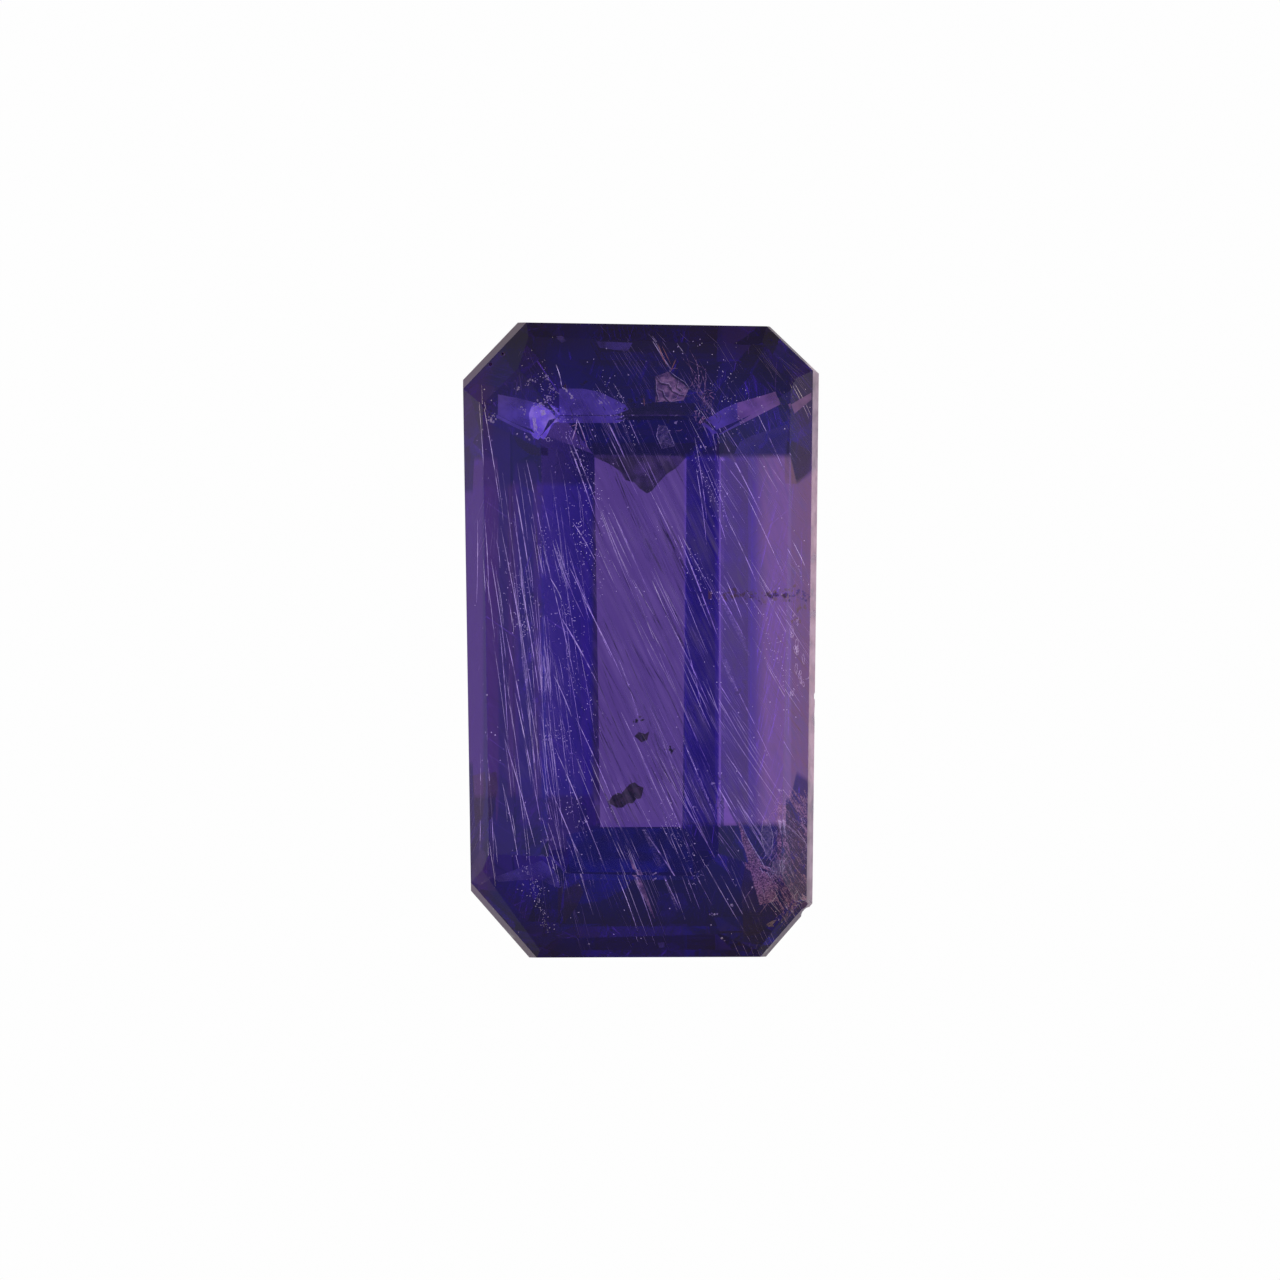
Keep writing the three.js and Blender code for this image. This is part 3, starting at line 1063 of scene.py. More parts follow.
def seen_outline(spots, height):
    """The points inside the stone that the photo shows at these spots."""
    return [under(x, y, height) for x, y in spots]


dark = Heap()
for outline, height, depth in DARK_BLOCKS:
    add_lump(dark, seen_outline(outline, height), depth, DARK_BEVEL)
print("dark crystals:", len(DARK_BLOCKS))

# %% [markdown]
# The crumbs are splinters with random, flat-sided outlines. Each row of the list is a small swarm:
# its place in mm from the stone's middle, how loose it is, and its number of crumbs.

# %% Dark crumbs
CRUMB_HEIGHT = 2.9
CRUMB_SIZES = (0.01, 0.038)
CHIP_CORNERS = 5
CHIP_REACH = (0.4, 1.2)
CHIP_RISE = 0.25
CHIP_DEPTH = 0.5
CHIP_BEVEL = 0.3
SWARM_FLATNESS = 0.6
SWARM_DEPTH = 0.04
DARK_CRUMBS = [
    (-0.12, 3.33, 0.09, 16), (0.06, 3.35, 0.1, 20), (0.22, 3.32, 0.1, 16), (0.36, 3.25, 0.06, 10),
    (-0.8, 3.62, 0.03, 4), (1.38, -0.72, 0.05, 10), (1.46, -0.60, 0.04, 7), (1.30, -0.35, 0.05, 6),
    (0.74, 0.66, 0.04, 6), (1.41, 0.64, 0.06, 12), (1.63, 0.62, 0.07, 14), (1.91, 0.64, 0.09, 20),
    (2.07, 0.66, 0.07, 14), (2.30, 0.45, 0.07, 10), (2.2, 0.30, 0.05, 8), (-2.2, 3.28, 0.06, 6),
    (0.48, -1.55, 0.07, 7), (0.78, -1.72, 0.06, 7), (-0.05, -1.15, 0.05, 5), (1.05, -1.95, 0.05, 4),
    (0.95, -2.3, 0.06, 6),
]


def chip(heap, centre, size, draw):
    """A splinter: a small lump with a random, flat-sided outline."""
    turn = draw.uniform(0, math.tau)
    outline = []
    for i in range(CHIP_CORNERS):
        angle = turn + math.tau * i / CHIP_CORNERS
        reach = size * draw.uniform(*CHIP_REACH)
        rise = draw.gauss(0, size * CHIP_RISE)
        outline.append(centre + Vector((math.cos(angle) * reach, math.sin(angle) * reach, rise)))
    add_lump(heap, outline, size * CHIP_DEPTH, CHIP_BEVEL)


def scatter_chips(heap, x, y, loose, count, height, sizes, draw):
    """Splinters strewn around a spot as seen from above."""
    for _ in range(count):
        across = x + draw.gauss(0, loose)
        along = y + draw.gauss(0, loose * SWARM_FLATNESS)
        centre = under(across, along, height + draw.gauss(0, SWARM_DEPTH))
        if centre is not None:
            chip(heap, centre, draw.uniform(*sizes), draw)


crumbs = Heap()
for x, y, loose, count in DARK_CRUMBS:
    scatter_chips(crumbs, x, y, loose, count, CRUMB_HEIGHT, CRUMB_SIZES, chance)
print("dark crumbs:", sum(count for _, _, _, count in DARK_CRUMBS))

# %% [markdown]
# The crystals are solid brown and matt, and the crumbs let some light through.

# %% Dress the dark crystals
BROWN = (0.2, 0.09, 0.15)
DEEP_BROWN = (0.03, 0.012, 0.03)
DUSKY = (0.12, 0.08, 0.14)
DEEP_DUSK = (0.03, 0.02, 0.05)
MATT = 0.7

dark_finish = inclusion_finish("dark_crystal", BROWN, DEEP_BROWN, 0.12, 0.07, (0.9, 1.0), MATT)
crumb_finish = inclusion_finish("dark_crumb", DUSKY, DEEP_DUSK, 0, 0.1, (0.35, 1.0))
make_piece("dark_crystals", dark, dark_finish)
make_piece("dark_crumbs", crumbs, crumb_finish)

# %% [markdown]
# ## Mirror cracks
# Some old cracks lie at just the angle to mirror light up, and look like windows of violet or pink
# glass with straight edges. A row of them runs along the back of the table, and more catch the
# light at both ends. Each is a very thin plate over the outline that the photo shows, lying level,
# with a soft see-through finish whose colour and glow are a painted reflection. Painted patches on
# the facets would slide over the crystals below them when the stone is turned, and plates don't.

# %% Mirror cracks
PLATE_HEIGHT = 2.88
PLATE = 0.008
PLATE_BEVEL = 0.02
VIOLET_PLATES = [
    [
        (-2.02, 3.47), (-1.75, 3.42), (-1.43, 3.34), (-1.16, 3.16), (-1.41, 2.93), (-1.73, 3.04),
        (-2.04, 3.14),
    ],
    [
        (-1.16, 3.55), (-0.82, 3.55), (-0.57, 3.50), (-0.23, 3.33), (-0.16, 3.24), (-0.34, 3.178),
        (-1.15, 3.178),
    ],
    [(0.91, 3.11), (1.00, 3.05), (1.11, 2.90), (1.40, 3.04), (1.36, 3.35), (1.17, 3.27)],
]
PINK_PLATES = [
    [(1.40, 3.04), (1.97, 3.33), (1.90, 3.51), (1.61, 3.42), (1.36, 3.35)],
    [(2.08, 3.33), (2.17, 3.20), (2.41, 3.40), (2.41, 3.50)],
    [(1.08, -2.22), (1.27, -2.46), (1.36, -2.62), (1.08, -2.62)],
]
DIM_PLATES = [
    [(-0.63, 4.22), (-0.12, 4.20), (-0.18, 4.08), (-0.37, 4.10), (-0.58, 4.13)],
    [(-1.20, 4.29), (-1.12, 4.30), (-1.06, 4.23), (-1.12, 4.20)],
    [(0.24, -4.28), (0.33, -4.27), (0.33, -4.34), (0.26, -4.35)],
    [(-2.38, -3.18), (-2.26, -2.96), (-2.12, -3.00), (-2.09, -3.35), (-2.26, -3.47), (-2.38, -3.42)],
    [(-2.07, -3.35), (-1.30, -3.02), (-1.08, -3.23), (-1.15, -3.50), (-1.48, -3.37), (-2.01, -3.42)],
    [(1.32, 2.63), (1.40, 2.80), (1.55, 2.88), (2.08, 3.05), (2.10, 2.63)],
]
BLUE_PLATES = [
    [(-0.62, -2.66), (0.72, -2.66), (0.74, -3.28), (-1.0, -3.28), (-1.06, -2.75)],
]
PLATE_KINDS = [VIOLET_PLATES, PINK_PLATES, DIM_PLATES, BLUE_PLATES]


def lay_plate(heap, spots, height):
    """A level plate over an outline given as seen from above."""
    add_lump(heap, seen_outline(spots, height), PLATE, PLATE_BEVEL)


# These plates carry a painted reflection in their colour and glow.
painted_reflection_plates = []
for outlines in PLATE_KINDS:
    heap = Heap()
    for outline in outlines:
        lay_plate(heap, outline, PLATE_HEIGHT)
    painted_reflection_plates.append(heap)
print("bright plates:", sum(len(outlines) for outlines in PLATE_KINDS))

# %% [markdown]
# Other plates are painted shade: dark sheets laid level where the facets mirror the dark room and
# the stone looks dark. One cuts into the back end of the bright window as a notch, some shade the
# corners, and a narrow one runs beside the right edge of the table, where the facets would show the
# window a second time. A brown one lies behind the table. They lie at several heights, so each
# outline comes with its own.

# %% Dark plates
NOTCH_HEIGHT = 0.35
BROWN_HEIGHT = 3.1
NOTCH = [
    (-0.67, 2.60), (-0.70, 2.80), (0.78, 2.80), (0.74, 2.62), (0.65, 2.60), (0.50, 2.44),
    (0.36, 2.35), (0.25, 2.23), (0.16, 2.12), (0.09, 2.08), (-0.02, 2.15), (-0.10, 2.24), (-0.22, 2.27),
    (-0.30, 2.40), (-0.45, 2.50),
]
SECOND_WINDOW = [(1.05, 2.55), (1.135, 2.55), (1.135, -2.62), (1.05, -2.62)]
PAINTED_SHADE_PLATES = [
    (NOTCH_HEIGHT, SECOND_WINDOW),
    (2.8, [
        (-1.17, -3.52), (-0.88, -3.42), (-0.81, -3.55), (-0.90, -3.76), (-1.09, -4.01), (-1.17, -3.90),
    ]),
    (2.6, [(2.12, 2.83), (2.40, 2.66), (2.40, 2.40), (2.21, 2.21), (2.12, 2.21)]),
    (2.8, [(-1.80, 2.89), (-1.42, 2.70), (-1.42, 2.60), (-1.57, 2.62), (-1.74, 2.75)]),
    (2.8, [(1.13, 2.95), (1.36, 2.70), (1.34, 2.50), (1.16, 2.62), (1.08, 2.80)]),
    (2.6, [(-2.38, -1.92), (-2.20, -1.86), (-2.02, -2.10), (-2.10, -2.50), (-2.34, -2.66)]),
    (2.4, [
        (1.52, -3.05), (1.95, -3.15), (2.15, -3.60), (2.00, -3.85), (1.68, -4.15), (1.45, -4.2),
        (1.42, -3.5),
    ]),
    (NOTCH_HEIGHT, NOTCH),
]
BROWN_MASS = [
    (-0.38, 3.178), (-0.26, 3.22), (-0.14, 3.27), (-0.02, 3.28), (0.06, 3.31), (0.18, 3.29),
    (0.30, 3.30), (0.42, 3.26), (0.56, 3.24), (0.66, 3.178),
]

painted_shade_plates, brown = Heap(), Heap()
# Each of these dark plates is painted shade.
for height, outline in PAINTED_SHADE_PLATES:
    lay_plate(painted_shade_plates, outline, height)
lay_plate(brown, BROWN_MASS, BROWN_HEIGHT)
print("dark plates:", len(PAINTED_SHADE_PLATES) + 1)

# %% [markdown]
# The plates share one finish recipe with the rest, in large patches and a little smoother. Each row
# gives a kind its pale and its deep colour, its glow, and how far it covers what lies below.

# %% Dress the plates
PLATE_GRAIN = 0.5
PLATE_ROUGHNESS = 0.3
PLATE_LOOKS = [
    ("violet_plates", (0.3, 0.2, 0.9), (0.2, 0.13, 0.62), 0.36, (0.3, 0.75)),
    ("pink_plates", (0.45, 0.25, 0.64), (0.34, 0.18, 0.5), 0.5, (0.4, 0.8)),
    ("dim_plates", (0.2, 0.14, 0.7), (0.12, 0.07, 0.4), 0.3, (0.15, 0.6)),
    ("blue_plates", (0.02, 0.02, 0.6), (0.01, 0.01, 0.3), 0.25, (0.1, 0.5)),
    ("painted_shade_plates", (0.14, 0.06, 0.22), (0.07, 0.03, 0.14), 0.08, (0.35, 0.75)),
    ("brown_mass", (0.09, 0.05, 0.1), (0.03, 0.02, 0.05), 0, (0.4, 0.75)),
]

for heap, (name, pale, deep, glow, fade) in zip([*painted_reflection_plates, painted_shade_plates, brown], PLATE_LOOKS):
    finish = inclusion_finish(name, pale, deep, glow, PLATE_GRAIN, fade, PLATE_ROUGHNESS)
    make_piece(name, heap, finish)

# %% [markdown]
# ## The violet crystal
# Near the back left corner of the table sits a small bright crystal, shaped like a shield, that
# throws violet light, and its strong violet glow is a painted reflection. It is a guest crystal that
# points its flat faces at the camera, so it is a lump over the outline that the photo shows, with a
# small white core and white threads down its left side that are a painted highlight.

# %% Violet crystal
SHIELD = [
    (-1.57, 3.19), (-1.53, 3.29), (-1.40, 3.31), (-1.24, 3.27), (-1.14, 3.17), (-1.25, 3.06),
    (-1.38, 2.92), (-1.44, 2.83), (-1.50, 2.86), (-1.55, 3.0),
]
SHIELD_HEIGHT = 3.05
SHIELD_DEPTH = 0.14
SHIELD_BEVEL = 0.22
CORE = [(-1.43, 3.24), (-1.36, 3.25), (-1.34, 3.19), (-1.40, 3.16)]
CORE_HEIGHT = 3.08
CORE_DEPTH = 0.02
CORE_BEVEL = 0.3
LEFT_HIGHLIGHT = [(-1.52, 3.17), (-1.50, 3.06), (-1.49, 2.94)]
LEFT_HIGHLIGHT_HEIGHT = 3.12
LEFT_HIGHLIGHT_THREADS = (-0.015, 0.0, 0.018)
LEFT_HIGHLIGHT_RADIUS = 0.009


def seen_path(spots, height, sink=0.0, steps=3):
    """Points inside the stone along a path given as seen from above, sinking along the stone."""
    path = []
    for a, b in zip(spots, spots[1:]):
        for i in range(steps):
            share = i / steps
            path.append((a[0] + (b[0] - a[0]) * share, a[1] + (b[1] - a[1]) * share))
    path.append(spots[-1])
    start = path[0][1]
    inside = [under(x, y, height - sink * abs(start - y)) for x, y in path]
    return [point for point in inside if point is not None]


violet, glitter, white = Heap(), Heap(), Heap()
add_lump(violet, seen_outline(SHIELD, SHIELD_HEIGHT), SHIELD_DEPTH, SHIELD_BEVEL)
add_lump(white, seen_outline(CORE, CORE_HEIGHT), CORE_DEPTH, CORE_BEVEL)
# Painted highlight: three white threads down the crystal's left side.
for aside in LEFT_HIGHLIGHT_THREADS:
    add_thread(white, seen_path([(x + aside, y) for x, y in LEFT_HIGHLIGHT], LEFT_HIGHLIGHT_HEIGHT), LEFT_HIGHLIGHT_RADIUS, 4)
LIGHT_VIOLET = (0.55, 0.42, 1.0)
STRONG_VIOLET = (0.2, 0.11, 0.75)
SMOOTH = 0.2
violet_finish = inclusion_finish(
    "violet_crystal", LIGHT_VIOLET, STRONG_VIOLET, 0.75, 0.22, (0.6, 0.9), SMOOTH,
)
make_piece("violet_crystal", violet, violet_finish)

# %% [markdown]
# Tiny chips glitter round the crystal, strewn along arcs, and one ring-shaped bubble lies just in
# front of it. Scattering a dust texture would give dots of one size, and splinters of their own
# catch light one by one. Each row gives an arc its number of chips, how loose it is and its route.

# %% Glitter and a bubble
GLITTER_ARCS = [
    (44, 0.018, [(-1.82, 3.52), (-1.57, 3.65), (-1.36, 3.73), (-1.30, 3.66), (-1.22, 3.47)]),
    (40, 0.03, [(-1.50, 3.33), (-1.32, 3.36), (-1.24, 3.50)]),
    (18, 0.012, [(-1.09, 3.54), (-1.0, 3.48), (-0.93, 3.40)]),
    (18, 0.03, [(-2.15, 3.12), (-2.10, 3.14), (-2.08, 3.08)]),
    (12, 0.04, [(-1.75, 3.27), (-1.60, 3.22)]),
    (12, 0.05, [(-1.60, 3.0), (-1.48, 2.84)]),
]
GLITTER_SIZES = (0.006, 0.02)
BUBBLE_SPOT = (-1.31, 2.83)
BUBBLE_HEIGHT = 3.2
BUBBLE_RADIUS = 0.027
RING_STEPS = 16
RING_RADIUS = 0.004
RING_WOBBLE = (0.7, 1.3)
ALMOST_ALL = 0.999


def ring_around(heap, x, y, height, wide, tall, draw=None):
    """A closed thread around a spot as seen from above, wobbly if a draw is given."""
    middle = under(x, y, height)
    loop = []
    for i in range(RING_STEPS):
        angle = math.tau * i / RING_STEPS
        wobble = 1 if draw is None else draw.uniform(*RING_WOBBLE)
        loop.append(middle + Vector((math.cos(angle) * wide, math.sin(angle) * tall, 0)) * wobble)
    add_thread(heap, loop, RING_RADIUS, 4, round_trip=True)


for count, loose, arc in GLITTER_ARCS:
    path = seen_path(arc, CORE_HEIGHT)
    for _ in range(count):
        stray = Vector([chance.gauss(0, loose) for _ in range(3)])
        spot = along_path(path, chance.random() * ALMOST_ALL) + stray
        chip(glitter, spot, chance.uniform(*GLITTER_SIZES), chance)
ring_around(white, *BUBBLE_SPOT, BUBBLE_HEIGHT, BUBBLE_RADIUS, BUBBLE_RADIUS)
print("glitter chips:", sum(count for count, _, _ in GLITTER_ARCS))

# %% [markdown]
# ## Healed cracks
# Cracks that healed while the stone grew show as thin pinkish sheets with dark rims: rounded lobes
# behind the table, ribbons beside some needles, and grey feathers at the front right. Each one is
# written down by its left and its right edge, as the photo shows them from above.

# %% Healed cracks
LOBE = ([(0.20, 3.72), (0.22, 3.55), (0.20, 3.36)], [(0.38, 3.79), (0.68, 3.56), (0.60, 3.38)])
LOBE_RIMS = [
    [(0.20, 3.71), (0.27, 3.62), (0.38, 3.60), (0.44, 3.51), (0.55, 3.45), (0.67, 3.44)],
    [(0.21, 3.54), (0.30, 3.51), (0.33, 3.42), (0.41, 3.35), (0.50, 3.34)],
    [(0.38, 3.79), (0.47, 3.71), (0.61, 3.62), (0.69, 3.51)],
    [(0.21, 3.66), (0.20, 3.52), (0.24, 3.40), (0.21, 3.34)],
    [(0.52, 3.66), (0.50, 3.56), (0.58, 3.50)],
]
RIBBONS = [
    ([(0.01, -2.67), (0.16, -3.0), (0.31, -3.34)], [(0.07, -2.67), (0.23, -2.98), (0.35, -3.33)]),
    ([(0.33, -3.40), (0.42, -3.62), (0.51, -3.84)], [(0.36, -3.40), (0.46, -3.60), (0.52, -3.84)]),
    ([(0.58, -1.34), (0.82, -2.02), (1.06, -2.55)], [(0.60, -1.34), (0.86, -2.02), (1.08, -2.55)]),
    ([(1.10, 0.60), (1.30, 0.20), (1.52, -0.22)], [(1.13, 0.60), (1.38, 0.22), (1.54, -0.22)]),
    ([(1.14, -0.28), (1.22, -0.50), (1.34, -0.72)], [(1.20, -0.26), (1.30, -0.50), (1.38, -0.74)]),
]
PINK_RIBBON = (
    [(-0.16, -3.10), (-0.03, -3.50), (0.19, -3.94)], [(-0.13, -3.10), (0.05, -3.50), (0.20, -3.94)],
)
FEATHERS = [
    ([(1.72, -2.55), (1.70, -2.80), (1.77, -3.06)], [(1.80, -2.52), (1.87, -2.78), (1.84, -3.06)]),
    ([(1.87, -3.12), (1.85, -3.24), (1.92, -3.34)], [(1.95, -3.10), (2.01, -3.22), (2.0, -3.33)]),
    ([(0.25, 3.04), (0.22, 2.88), (0.30, 2.70)], [(0.36, 3.02), (0.44, 2.84), (0.48, 2.74)]),
]
print("healed cracks:", 2 + len(RIBBONS) + len(FEATHERS))

# %% [markdown]
# A crack is thinner than a hair, so a solid slab would be wrong. Each one is a flake between its two
# edges, crumpled a little so that it glints unevenly, and its finish lets most of the light
# through. The folds of a kind are the rows and columns of its grid and how deep it is crumpled.

# %% Lay the healed cracks
FLAKE_THICKNESS = 0.004
LOBE_HEIGHT = 3.0
LOBE_FOLDS = (16, 16, 0.04)
RIBBON_HEIGHT = 3.1
RIBBON_SINK = 0.9
RIBBON_FOLDS = (24, 4, 0.01)
FEATHER_HEIGHT = 2.95
FEATHER_FOLDS = (18, 8, 0.03)
FEATHER_RIM_HEIGHT = 2.96
FEATHER_RIM_RADIUS = 0.0045
SLIGHT_SINK = 0.2
RIM_HEIGHT = 3.06
RIM_RADIUS = 0.011
GLINT_RADIUS = 0.0035
GLINT_ASIDE = (0.015, 0.02)


def lay_flake(heap, edges, height, sink, rows, columns, crumple, seed):
    """A flake between two edges given as seen from above."""
    left, right = (seen_path(edge, height, sink) for edge in edges)
    add_flake(heap, left, right, rows, columns, FLAKE_THICKNESS, crumple, seed)


cracks, rims, feathers = Heap(), Heap(), Heap()
lay_flake(cracks, LOBE, LOBE_HEIGHT, SLIGHT_SINK, *LOBE_FOLDS, seed=1)
for path in LOBE_RIMS:
    add_thread(rims, seen_path(path, RIM_HEIGHT), RIM_RADIUS, 4)
    # The white thread beside each rim is a painted glint.
    beside = [(x + GLINT_ASIDE[0], y + GLINT_ASIDE[1]) for x, y in path]
    add_thread(white, seen_path(beside, CORE_HEIGHT), GLINT_RADIUS)
for seed, edges in enumerate(RIBBONS):
    lay_flake(feathers, edges, RIBBON_HEIGHT, RIBBON_SINK, *RIBBON_FOLDS, seed=10 + seed)
lay_flake(cracks, PINK_RIBBON, RIBBON_HEIGHT, RIBBON_SINK, *RIBBON_FOLDS, seed=20)
for seed, edges in enumerate(FEATHERS):
    lay_flake(feathers, edges, FEATHER_HEIGHT, SLIGHT_SINK, *FEATHER_FOLDS, seed=30 + seed)
    for edge in edges:
        path = seen_path(edge, FEATHER_RIM_HEIGHT, SLIGHT_SINK)
        add_thread(white, path, FEATHER_RIM_RADIUS)
print("points of the cracks and feathers:", len(cracks.points), len(feathers.points))

# %% [markdown]
# Two finer things belong to the cracks. Pink forks stand near the back left of the table, where
# needles broke and split. Curls crowd round the lobe: short bowed threads, where the edge of the
# crack is crumpled. They are drawn at random, because only their crowding shows.

# %% Forks and curls
FORKS = [[(-0.97, 2.80), (-0.90, 3.05)], [(-0.88, 3.06), (-0.74, 2.70)], [(-0.89, 3.05), (-0.98, 3.02)]]
FORK_HEIGHT = 3.15
FORK_SINK = 0.5
FORK_RADIUS = 0.0065
CURLS = [(0.66, 3.62, 0.16, 26), (0.86, 3.48, 0.12, 20), (0.95, 3.22, 0.1, 16), (0.80, 3.12, 0.08, 12)]
CURL_HEIGHT = 3.02
CURL_REACH = (0.03, 0.1)
CURL_SWEEP = (0.8, 2.2)
CURL_STEPS = 4
CURL_RADII = (0.003, 0.006)


def curl(heap, x, y, height, radius, draw):
    """A short bowed thread around a spot, for crumpled crack edges."""
    reach = draw.uniform(*CURL_REACH)
    start = draw.uniform(0, math.tau)
    sweep = draw.uniform(*CURL_SWEEP)
    spots = []
    for i in range(CURL_STEPS + 1):
        angle = start + sweep * i / CURL_STEPS
        spots.append((x + reach * math.cos(angle), y + reach * math.sin(angle)))
    add_thread(heap, seen_path(spots, height, 0, 1), radius)


pink = Heap()
for path in FORKS:
    add_thread(pink, seen_path(path, FORK_HEIGHT, FORK_SINK), FORK_RADIUS, 4)
for x, y, loose, count in CURLS:
    for _ in range(count):
        heap = chance.choice((rims, pink, feathers, feathers))
        spot = (x + chance.gauss(0, loose), y + chance.gauss(0, loose * SWARM_FLATNESS))
        curl(heap, *spot, CURL_HEIGHT, chance.uniform(*CURL_RADII), chance)
print("curls:", sum(count for _, _, _, count in CURLS))

# %% [markdown]
# ## The fractured corner
# The front right corner took a knock, which broke the edge and opened a bundle of brownish-pink
# fibres under it. The break in the outline is cut in the solid. Inside lie a long blade of speckled
# pink with a white rim, a dusky veil between the blade and the edge, two bright flakes, and the
# crumbled lines along the broken edge. All of these are drawn as the photo shows them.

# %% Blade and veil
BLADE = ([(1.37, -2.55), (1.43, -2.85), (1.52, -3.15), (1.61, -3.50), (1.68, -3.75)],
         [(1.38, -2.55), (1.50, -2.80), (1.66, -3.08), (1.82, -3.38), (1.95, -3.68)])
BLADE_RIM = [(1.38, -2.52), (1.53, -2.84), (1.70, -3.12), (1.84, -3.38), (2.0, -3.70)]
BLADE_HEIGHT = 2.85
BLADE_SINK = 0.3
BLADE_FOLDS = (60, 16, 0.05)
BLADE_RIM_HEIGHT = 2.86
BLADE_RIM_RADIUS = 0.008
VEIL = ([(1.95, -2.35), (1.92, -2.90), (1.95, -3.35), (2.02, -3.80)],
        [(2.10, -2.30), (2.35, -2.85), (2.36, -3.35), (2.30, -3.72)])
VEIL_HEIGHT = 2.6
VEIL_SINK = 0.1
VEIL_FOLDS = (40, 16, 0.08)

blade, veil, fibres, beige = Heap(), Heap(), Heap(), Heap()
lay_flake(blade, BLADE, BLADE_HEIGHT, BLADE_SINK, *BLADE_FOLDS, seed=22)
lay_flake(veil, VEIL, VEIL_HEIGHT, VEIL_SINK, *VEIL_FOLDS, seed=23)
add_thread(white, seen_path(BLADE_RIM, BLADE_RIM_HEIGHT, BLADE_SINK), BLADE_RIM_RADIUS, 4)
print("blade points:", len(blade.points))

# %% [markdown]
# The fibres and the pale flakes between them are drawn at random inside the corner, because no two
# look alike and none matters alone. Most lean the way the blade does, a few cross them, and they
# crowd towards the broken edge. A fibre that loses points to the side of the stone is left out.

# %% Fibres in the corner
CORNER = (1.62, 2.40, -3.70, -2.1)
CORNER_NARROWING = 0.45
CORNER_FIBRES = 220
FIBRE_LENGTHS = (0.08, 0.5)
FIBRE_HEIGHTS = (2.4, 2.95)
FIBRE_RADII = (0.0025, 0.0065)
FIBRE_LEAN = 0.62
LEAN_SCATTER = 0.22
CROSSING_LEAN = -0.7
CROSSING_SHARE = 0.12
WHITE_SHARE = 0.14
FEWEST_POINTS = 4


def corner_spot(draw):
    """A random spot in the corner, as seen from above, denser towards the edge."""
    left, right, front, back = CORNER
    y = draw.uniform(front, back)
    share = (y - front) / (back - front)
    x = right - (right - left) * draw.random() * (1 - CORNER_NARROWING * share)
    return x, y


for _ in range(CORNER_FIBRES):
    x, y = corner_spot(chance)
    length = chance.uniform(*FIBRE_LENGTHS)
    crossing = chance.random() < CROSSING_SHARE
    lean = CROSSING_LEAN if crossing else FIBRE_LEAN + chance.gauss(0, LEAN_SCATTER)
    path = [(x, y), (x + lean * length * 0.5, y - length * 0.5), (x + lean * length, y - length)]
    inside = seen_path(path, chance.uniform(*FIBRE_HEIGHTS), SLIGHT_SINK)
    if len(inside) >= FEWEST_POINTS:
        heap = white if chance.random() < WHITE_SHARE else fibres
        add_thread(heap, inside, chance.uniform(*FIBRE_RADII))
print("fibre points:", len(fibres.points))

# %% [markdown]
# The pale flakes are narrow sheets, pointed at both ends. Each is drawn by its left edge, and the
# right edge follows it at the flake's width.

# %% Flakes in the corner
CORNER_FLAKES = 30
FLAKE_LENGTHS = (0.1, 0.34)
FLAKE_WIDTHS = (0.02, 0.07)
FLAKE_HEIGHT = 2.7
FLAKE_FOLDS = (10, 4)
FLAKE_CRUMPLE = 0.02

for i in range(CORNER_FLAKES):
    x, y = corner_spot(chance)
    length, width = chance.uniform(*FLAKE_LENGTHS), chance.uniform(*FLAKE_WIDTHS)
    lean = FIBRE_LEAN * length
    left = [(x, y), (x + lean * 0.4, y - length * 0.5), (x + lean, y - length)]
    right = []
    for spot, share in zip(left, (0.3, 1, 0.2)):
        right.append((spot[0] + width * share, spot[1]))
    edges = [seen_path(edge, FLAKE_HEIGHT, SLIGHT_SINK) for edge in (left, right)]
    if min(len(edge) for edge in edges) >= FEWEST_POINTS:
        add_flake(blade, *edges, *FLAKE_FOLDS, FLAKE_THICKNESS, FLAKE_CRUMPLE, seed=40 + i)
print("points of the blade and its flakes:", len(blade.points))

# %% [markdown]
# Two flakes are bright enough to be drawn one by one, a white one beside the blade and a beige one
# at its front end. The crumbled lines lie along the break itself.

# %% Bright flakes and the broken edge
WHITE_FLAKE = [(1.93, -2.53), (1.99, -2.56), (2.03, -2.68), (2.05, -2.77), (1.97, -2.72)]
WHITE_FLAKE_HEIGHT = 2.8
BEIGE_FLAKE = [
    (1.77, -4.02), (1.84, -3.97), (1.92, -3.95), (1.86, -4.02), (1.88, -4.05), (1.80, -4.05),
]
BEIGE_FLAKE_HEIGHT = 2.9
BROKEN_EDGE = [
    [(2.22, -3.62), (2.40, -3.78)], [(2.26, -3.58), (2.42, -3.70)], [(2.18, -3.70), (2.34, -3.82)],
]
BROKEN_EDGE_HEIGHT = 2.75
BROKEN_EDGE_RADIUS = 0.006

add_lump(white, seen_outline(WHITE_FLAKE, WHITE_FLAKE_HEIGHT), depth=0.02, bevel=0.15)
add_lump(beige, seen_outline(BEIGE_FLAKE, BEIGE_FLAKE_HEIGHT), depth=0.03, bevel=0.2)
for path in BROKEN_EDGE:
    add_thread(white, seen_path(path, BROKEN_EDGE_HEIGHT), BROKEN_EDGE_RADIUS)
print("lines along the broken edge:", len(BROKEN_EDGE))

# %% [markdown]
# ## Small guests
# What is left is small. Stray flecks glitter here and there, and droplets of trapped fluid show as
# ragged pale outlines along the right edge. Both stand where the photo has them.

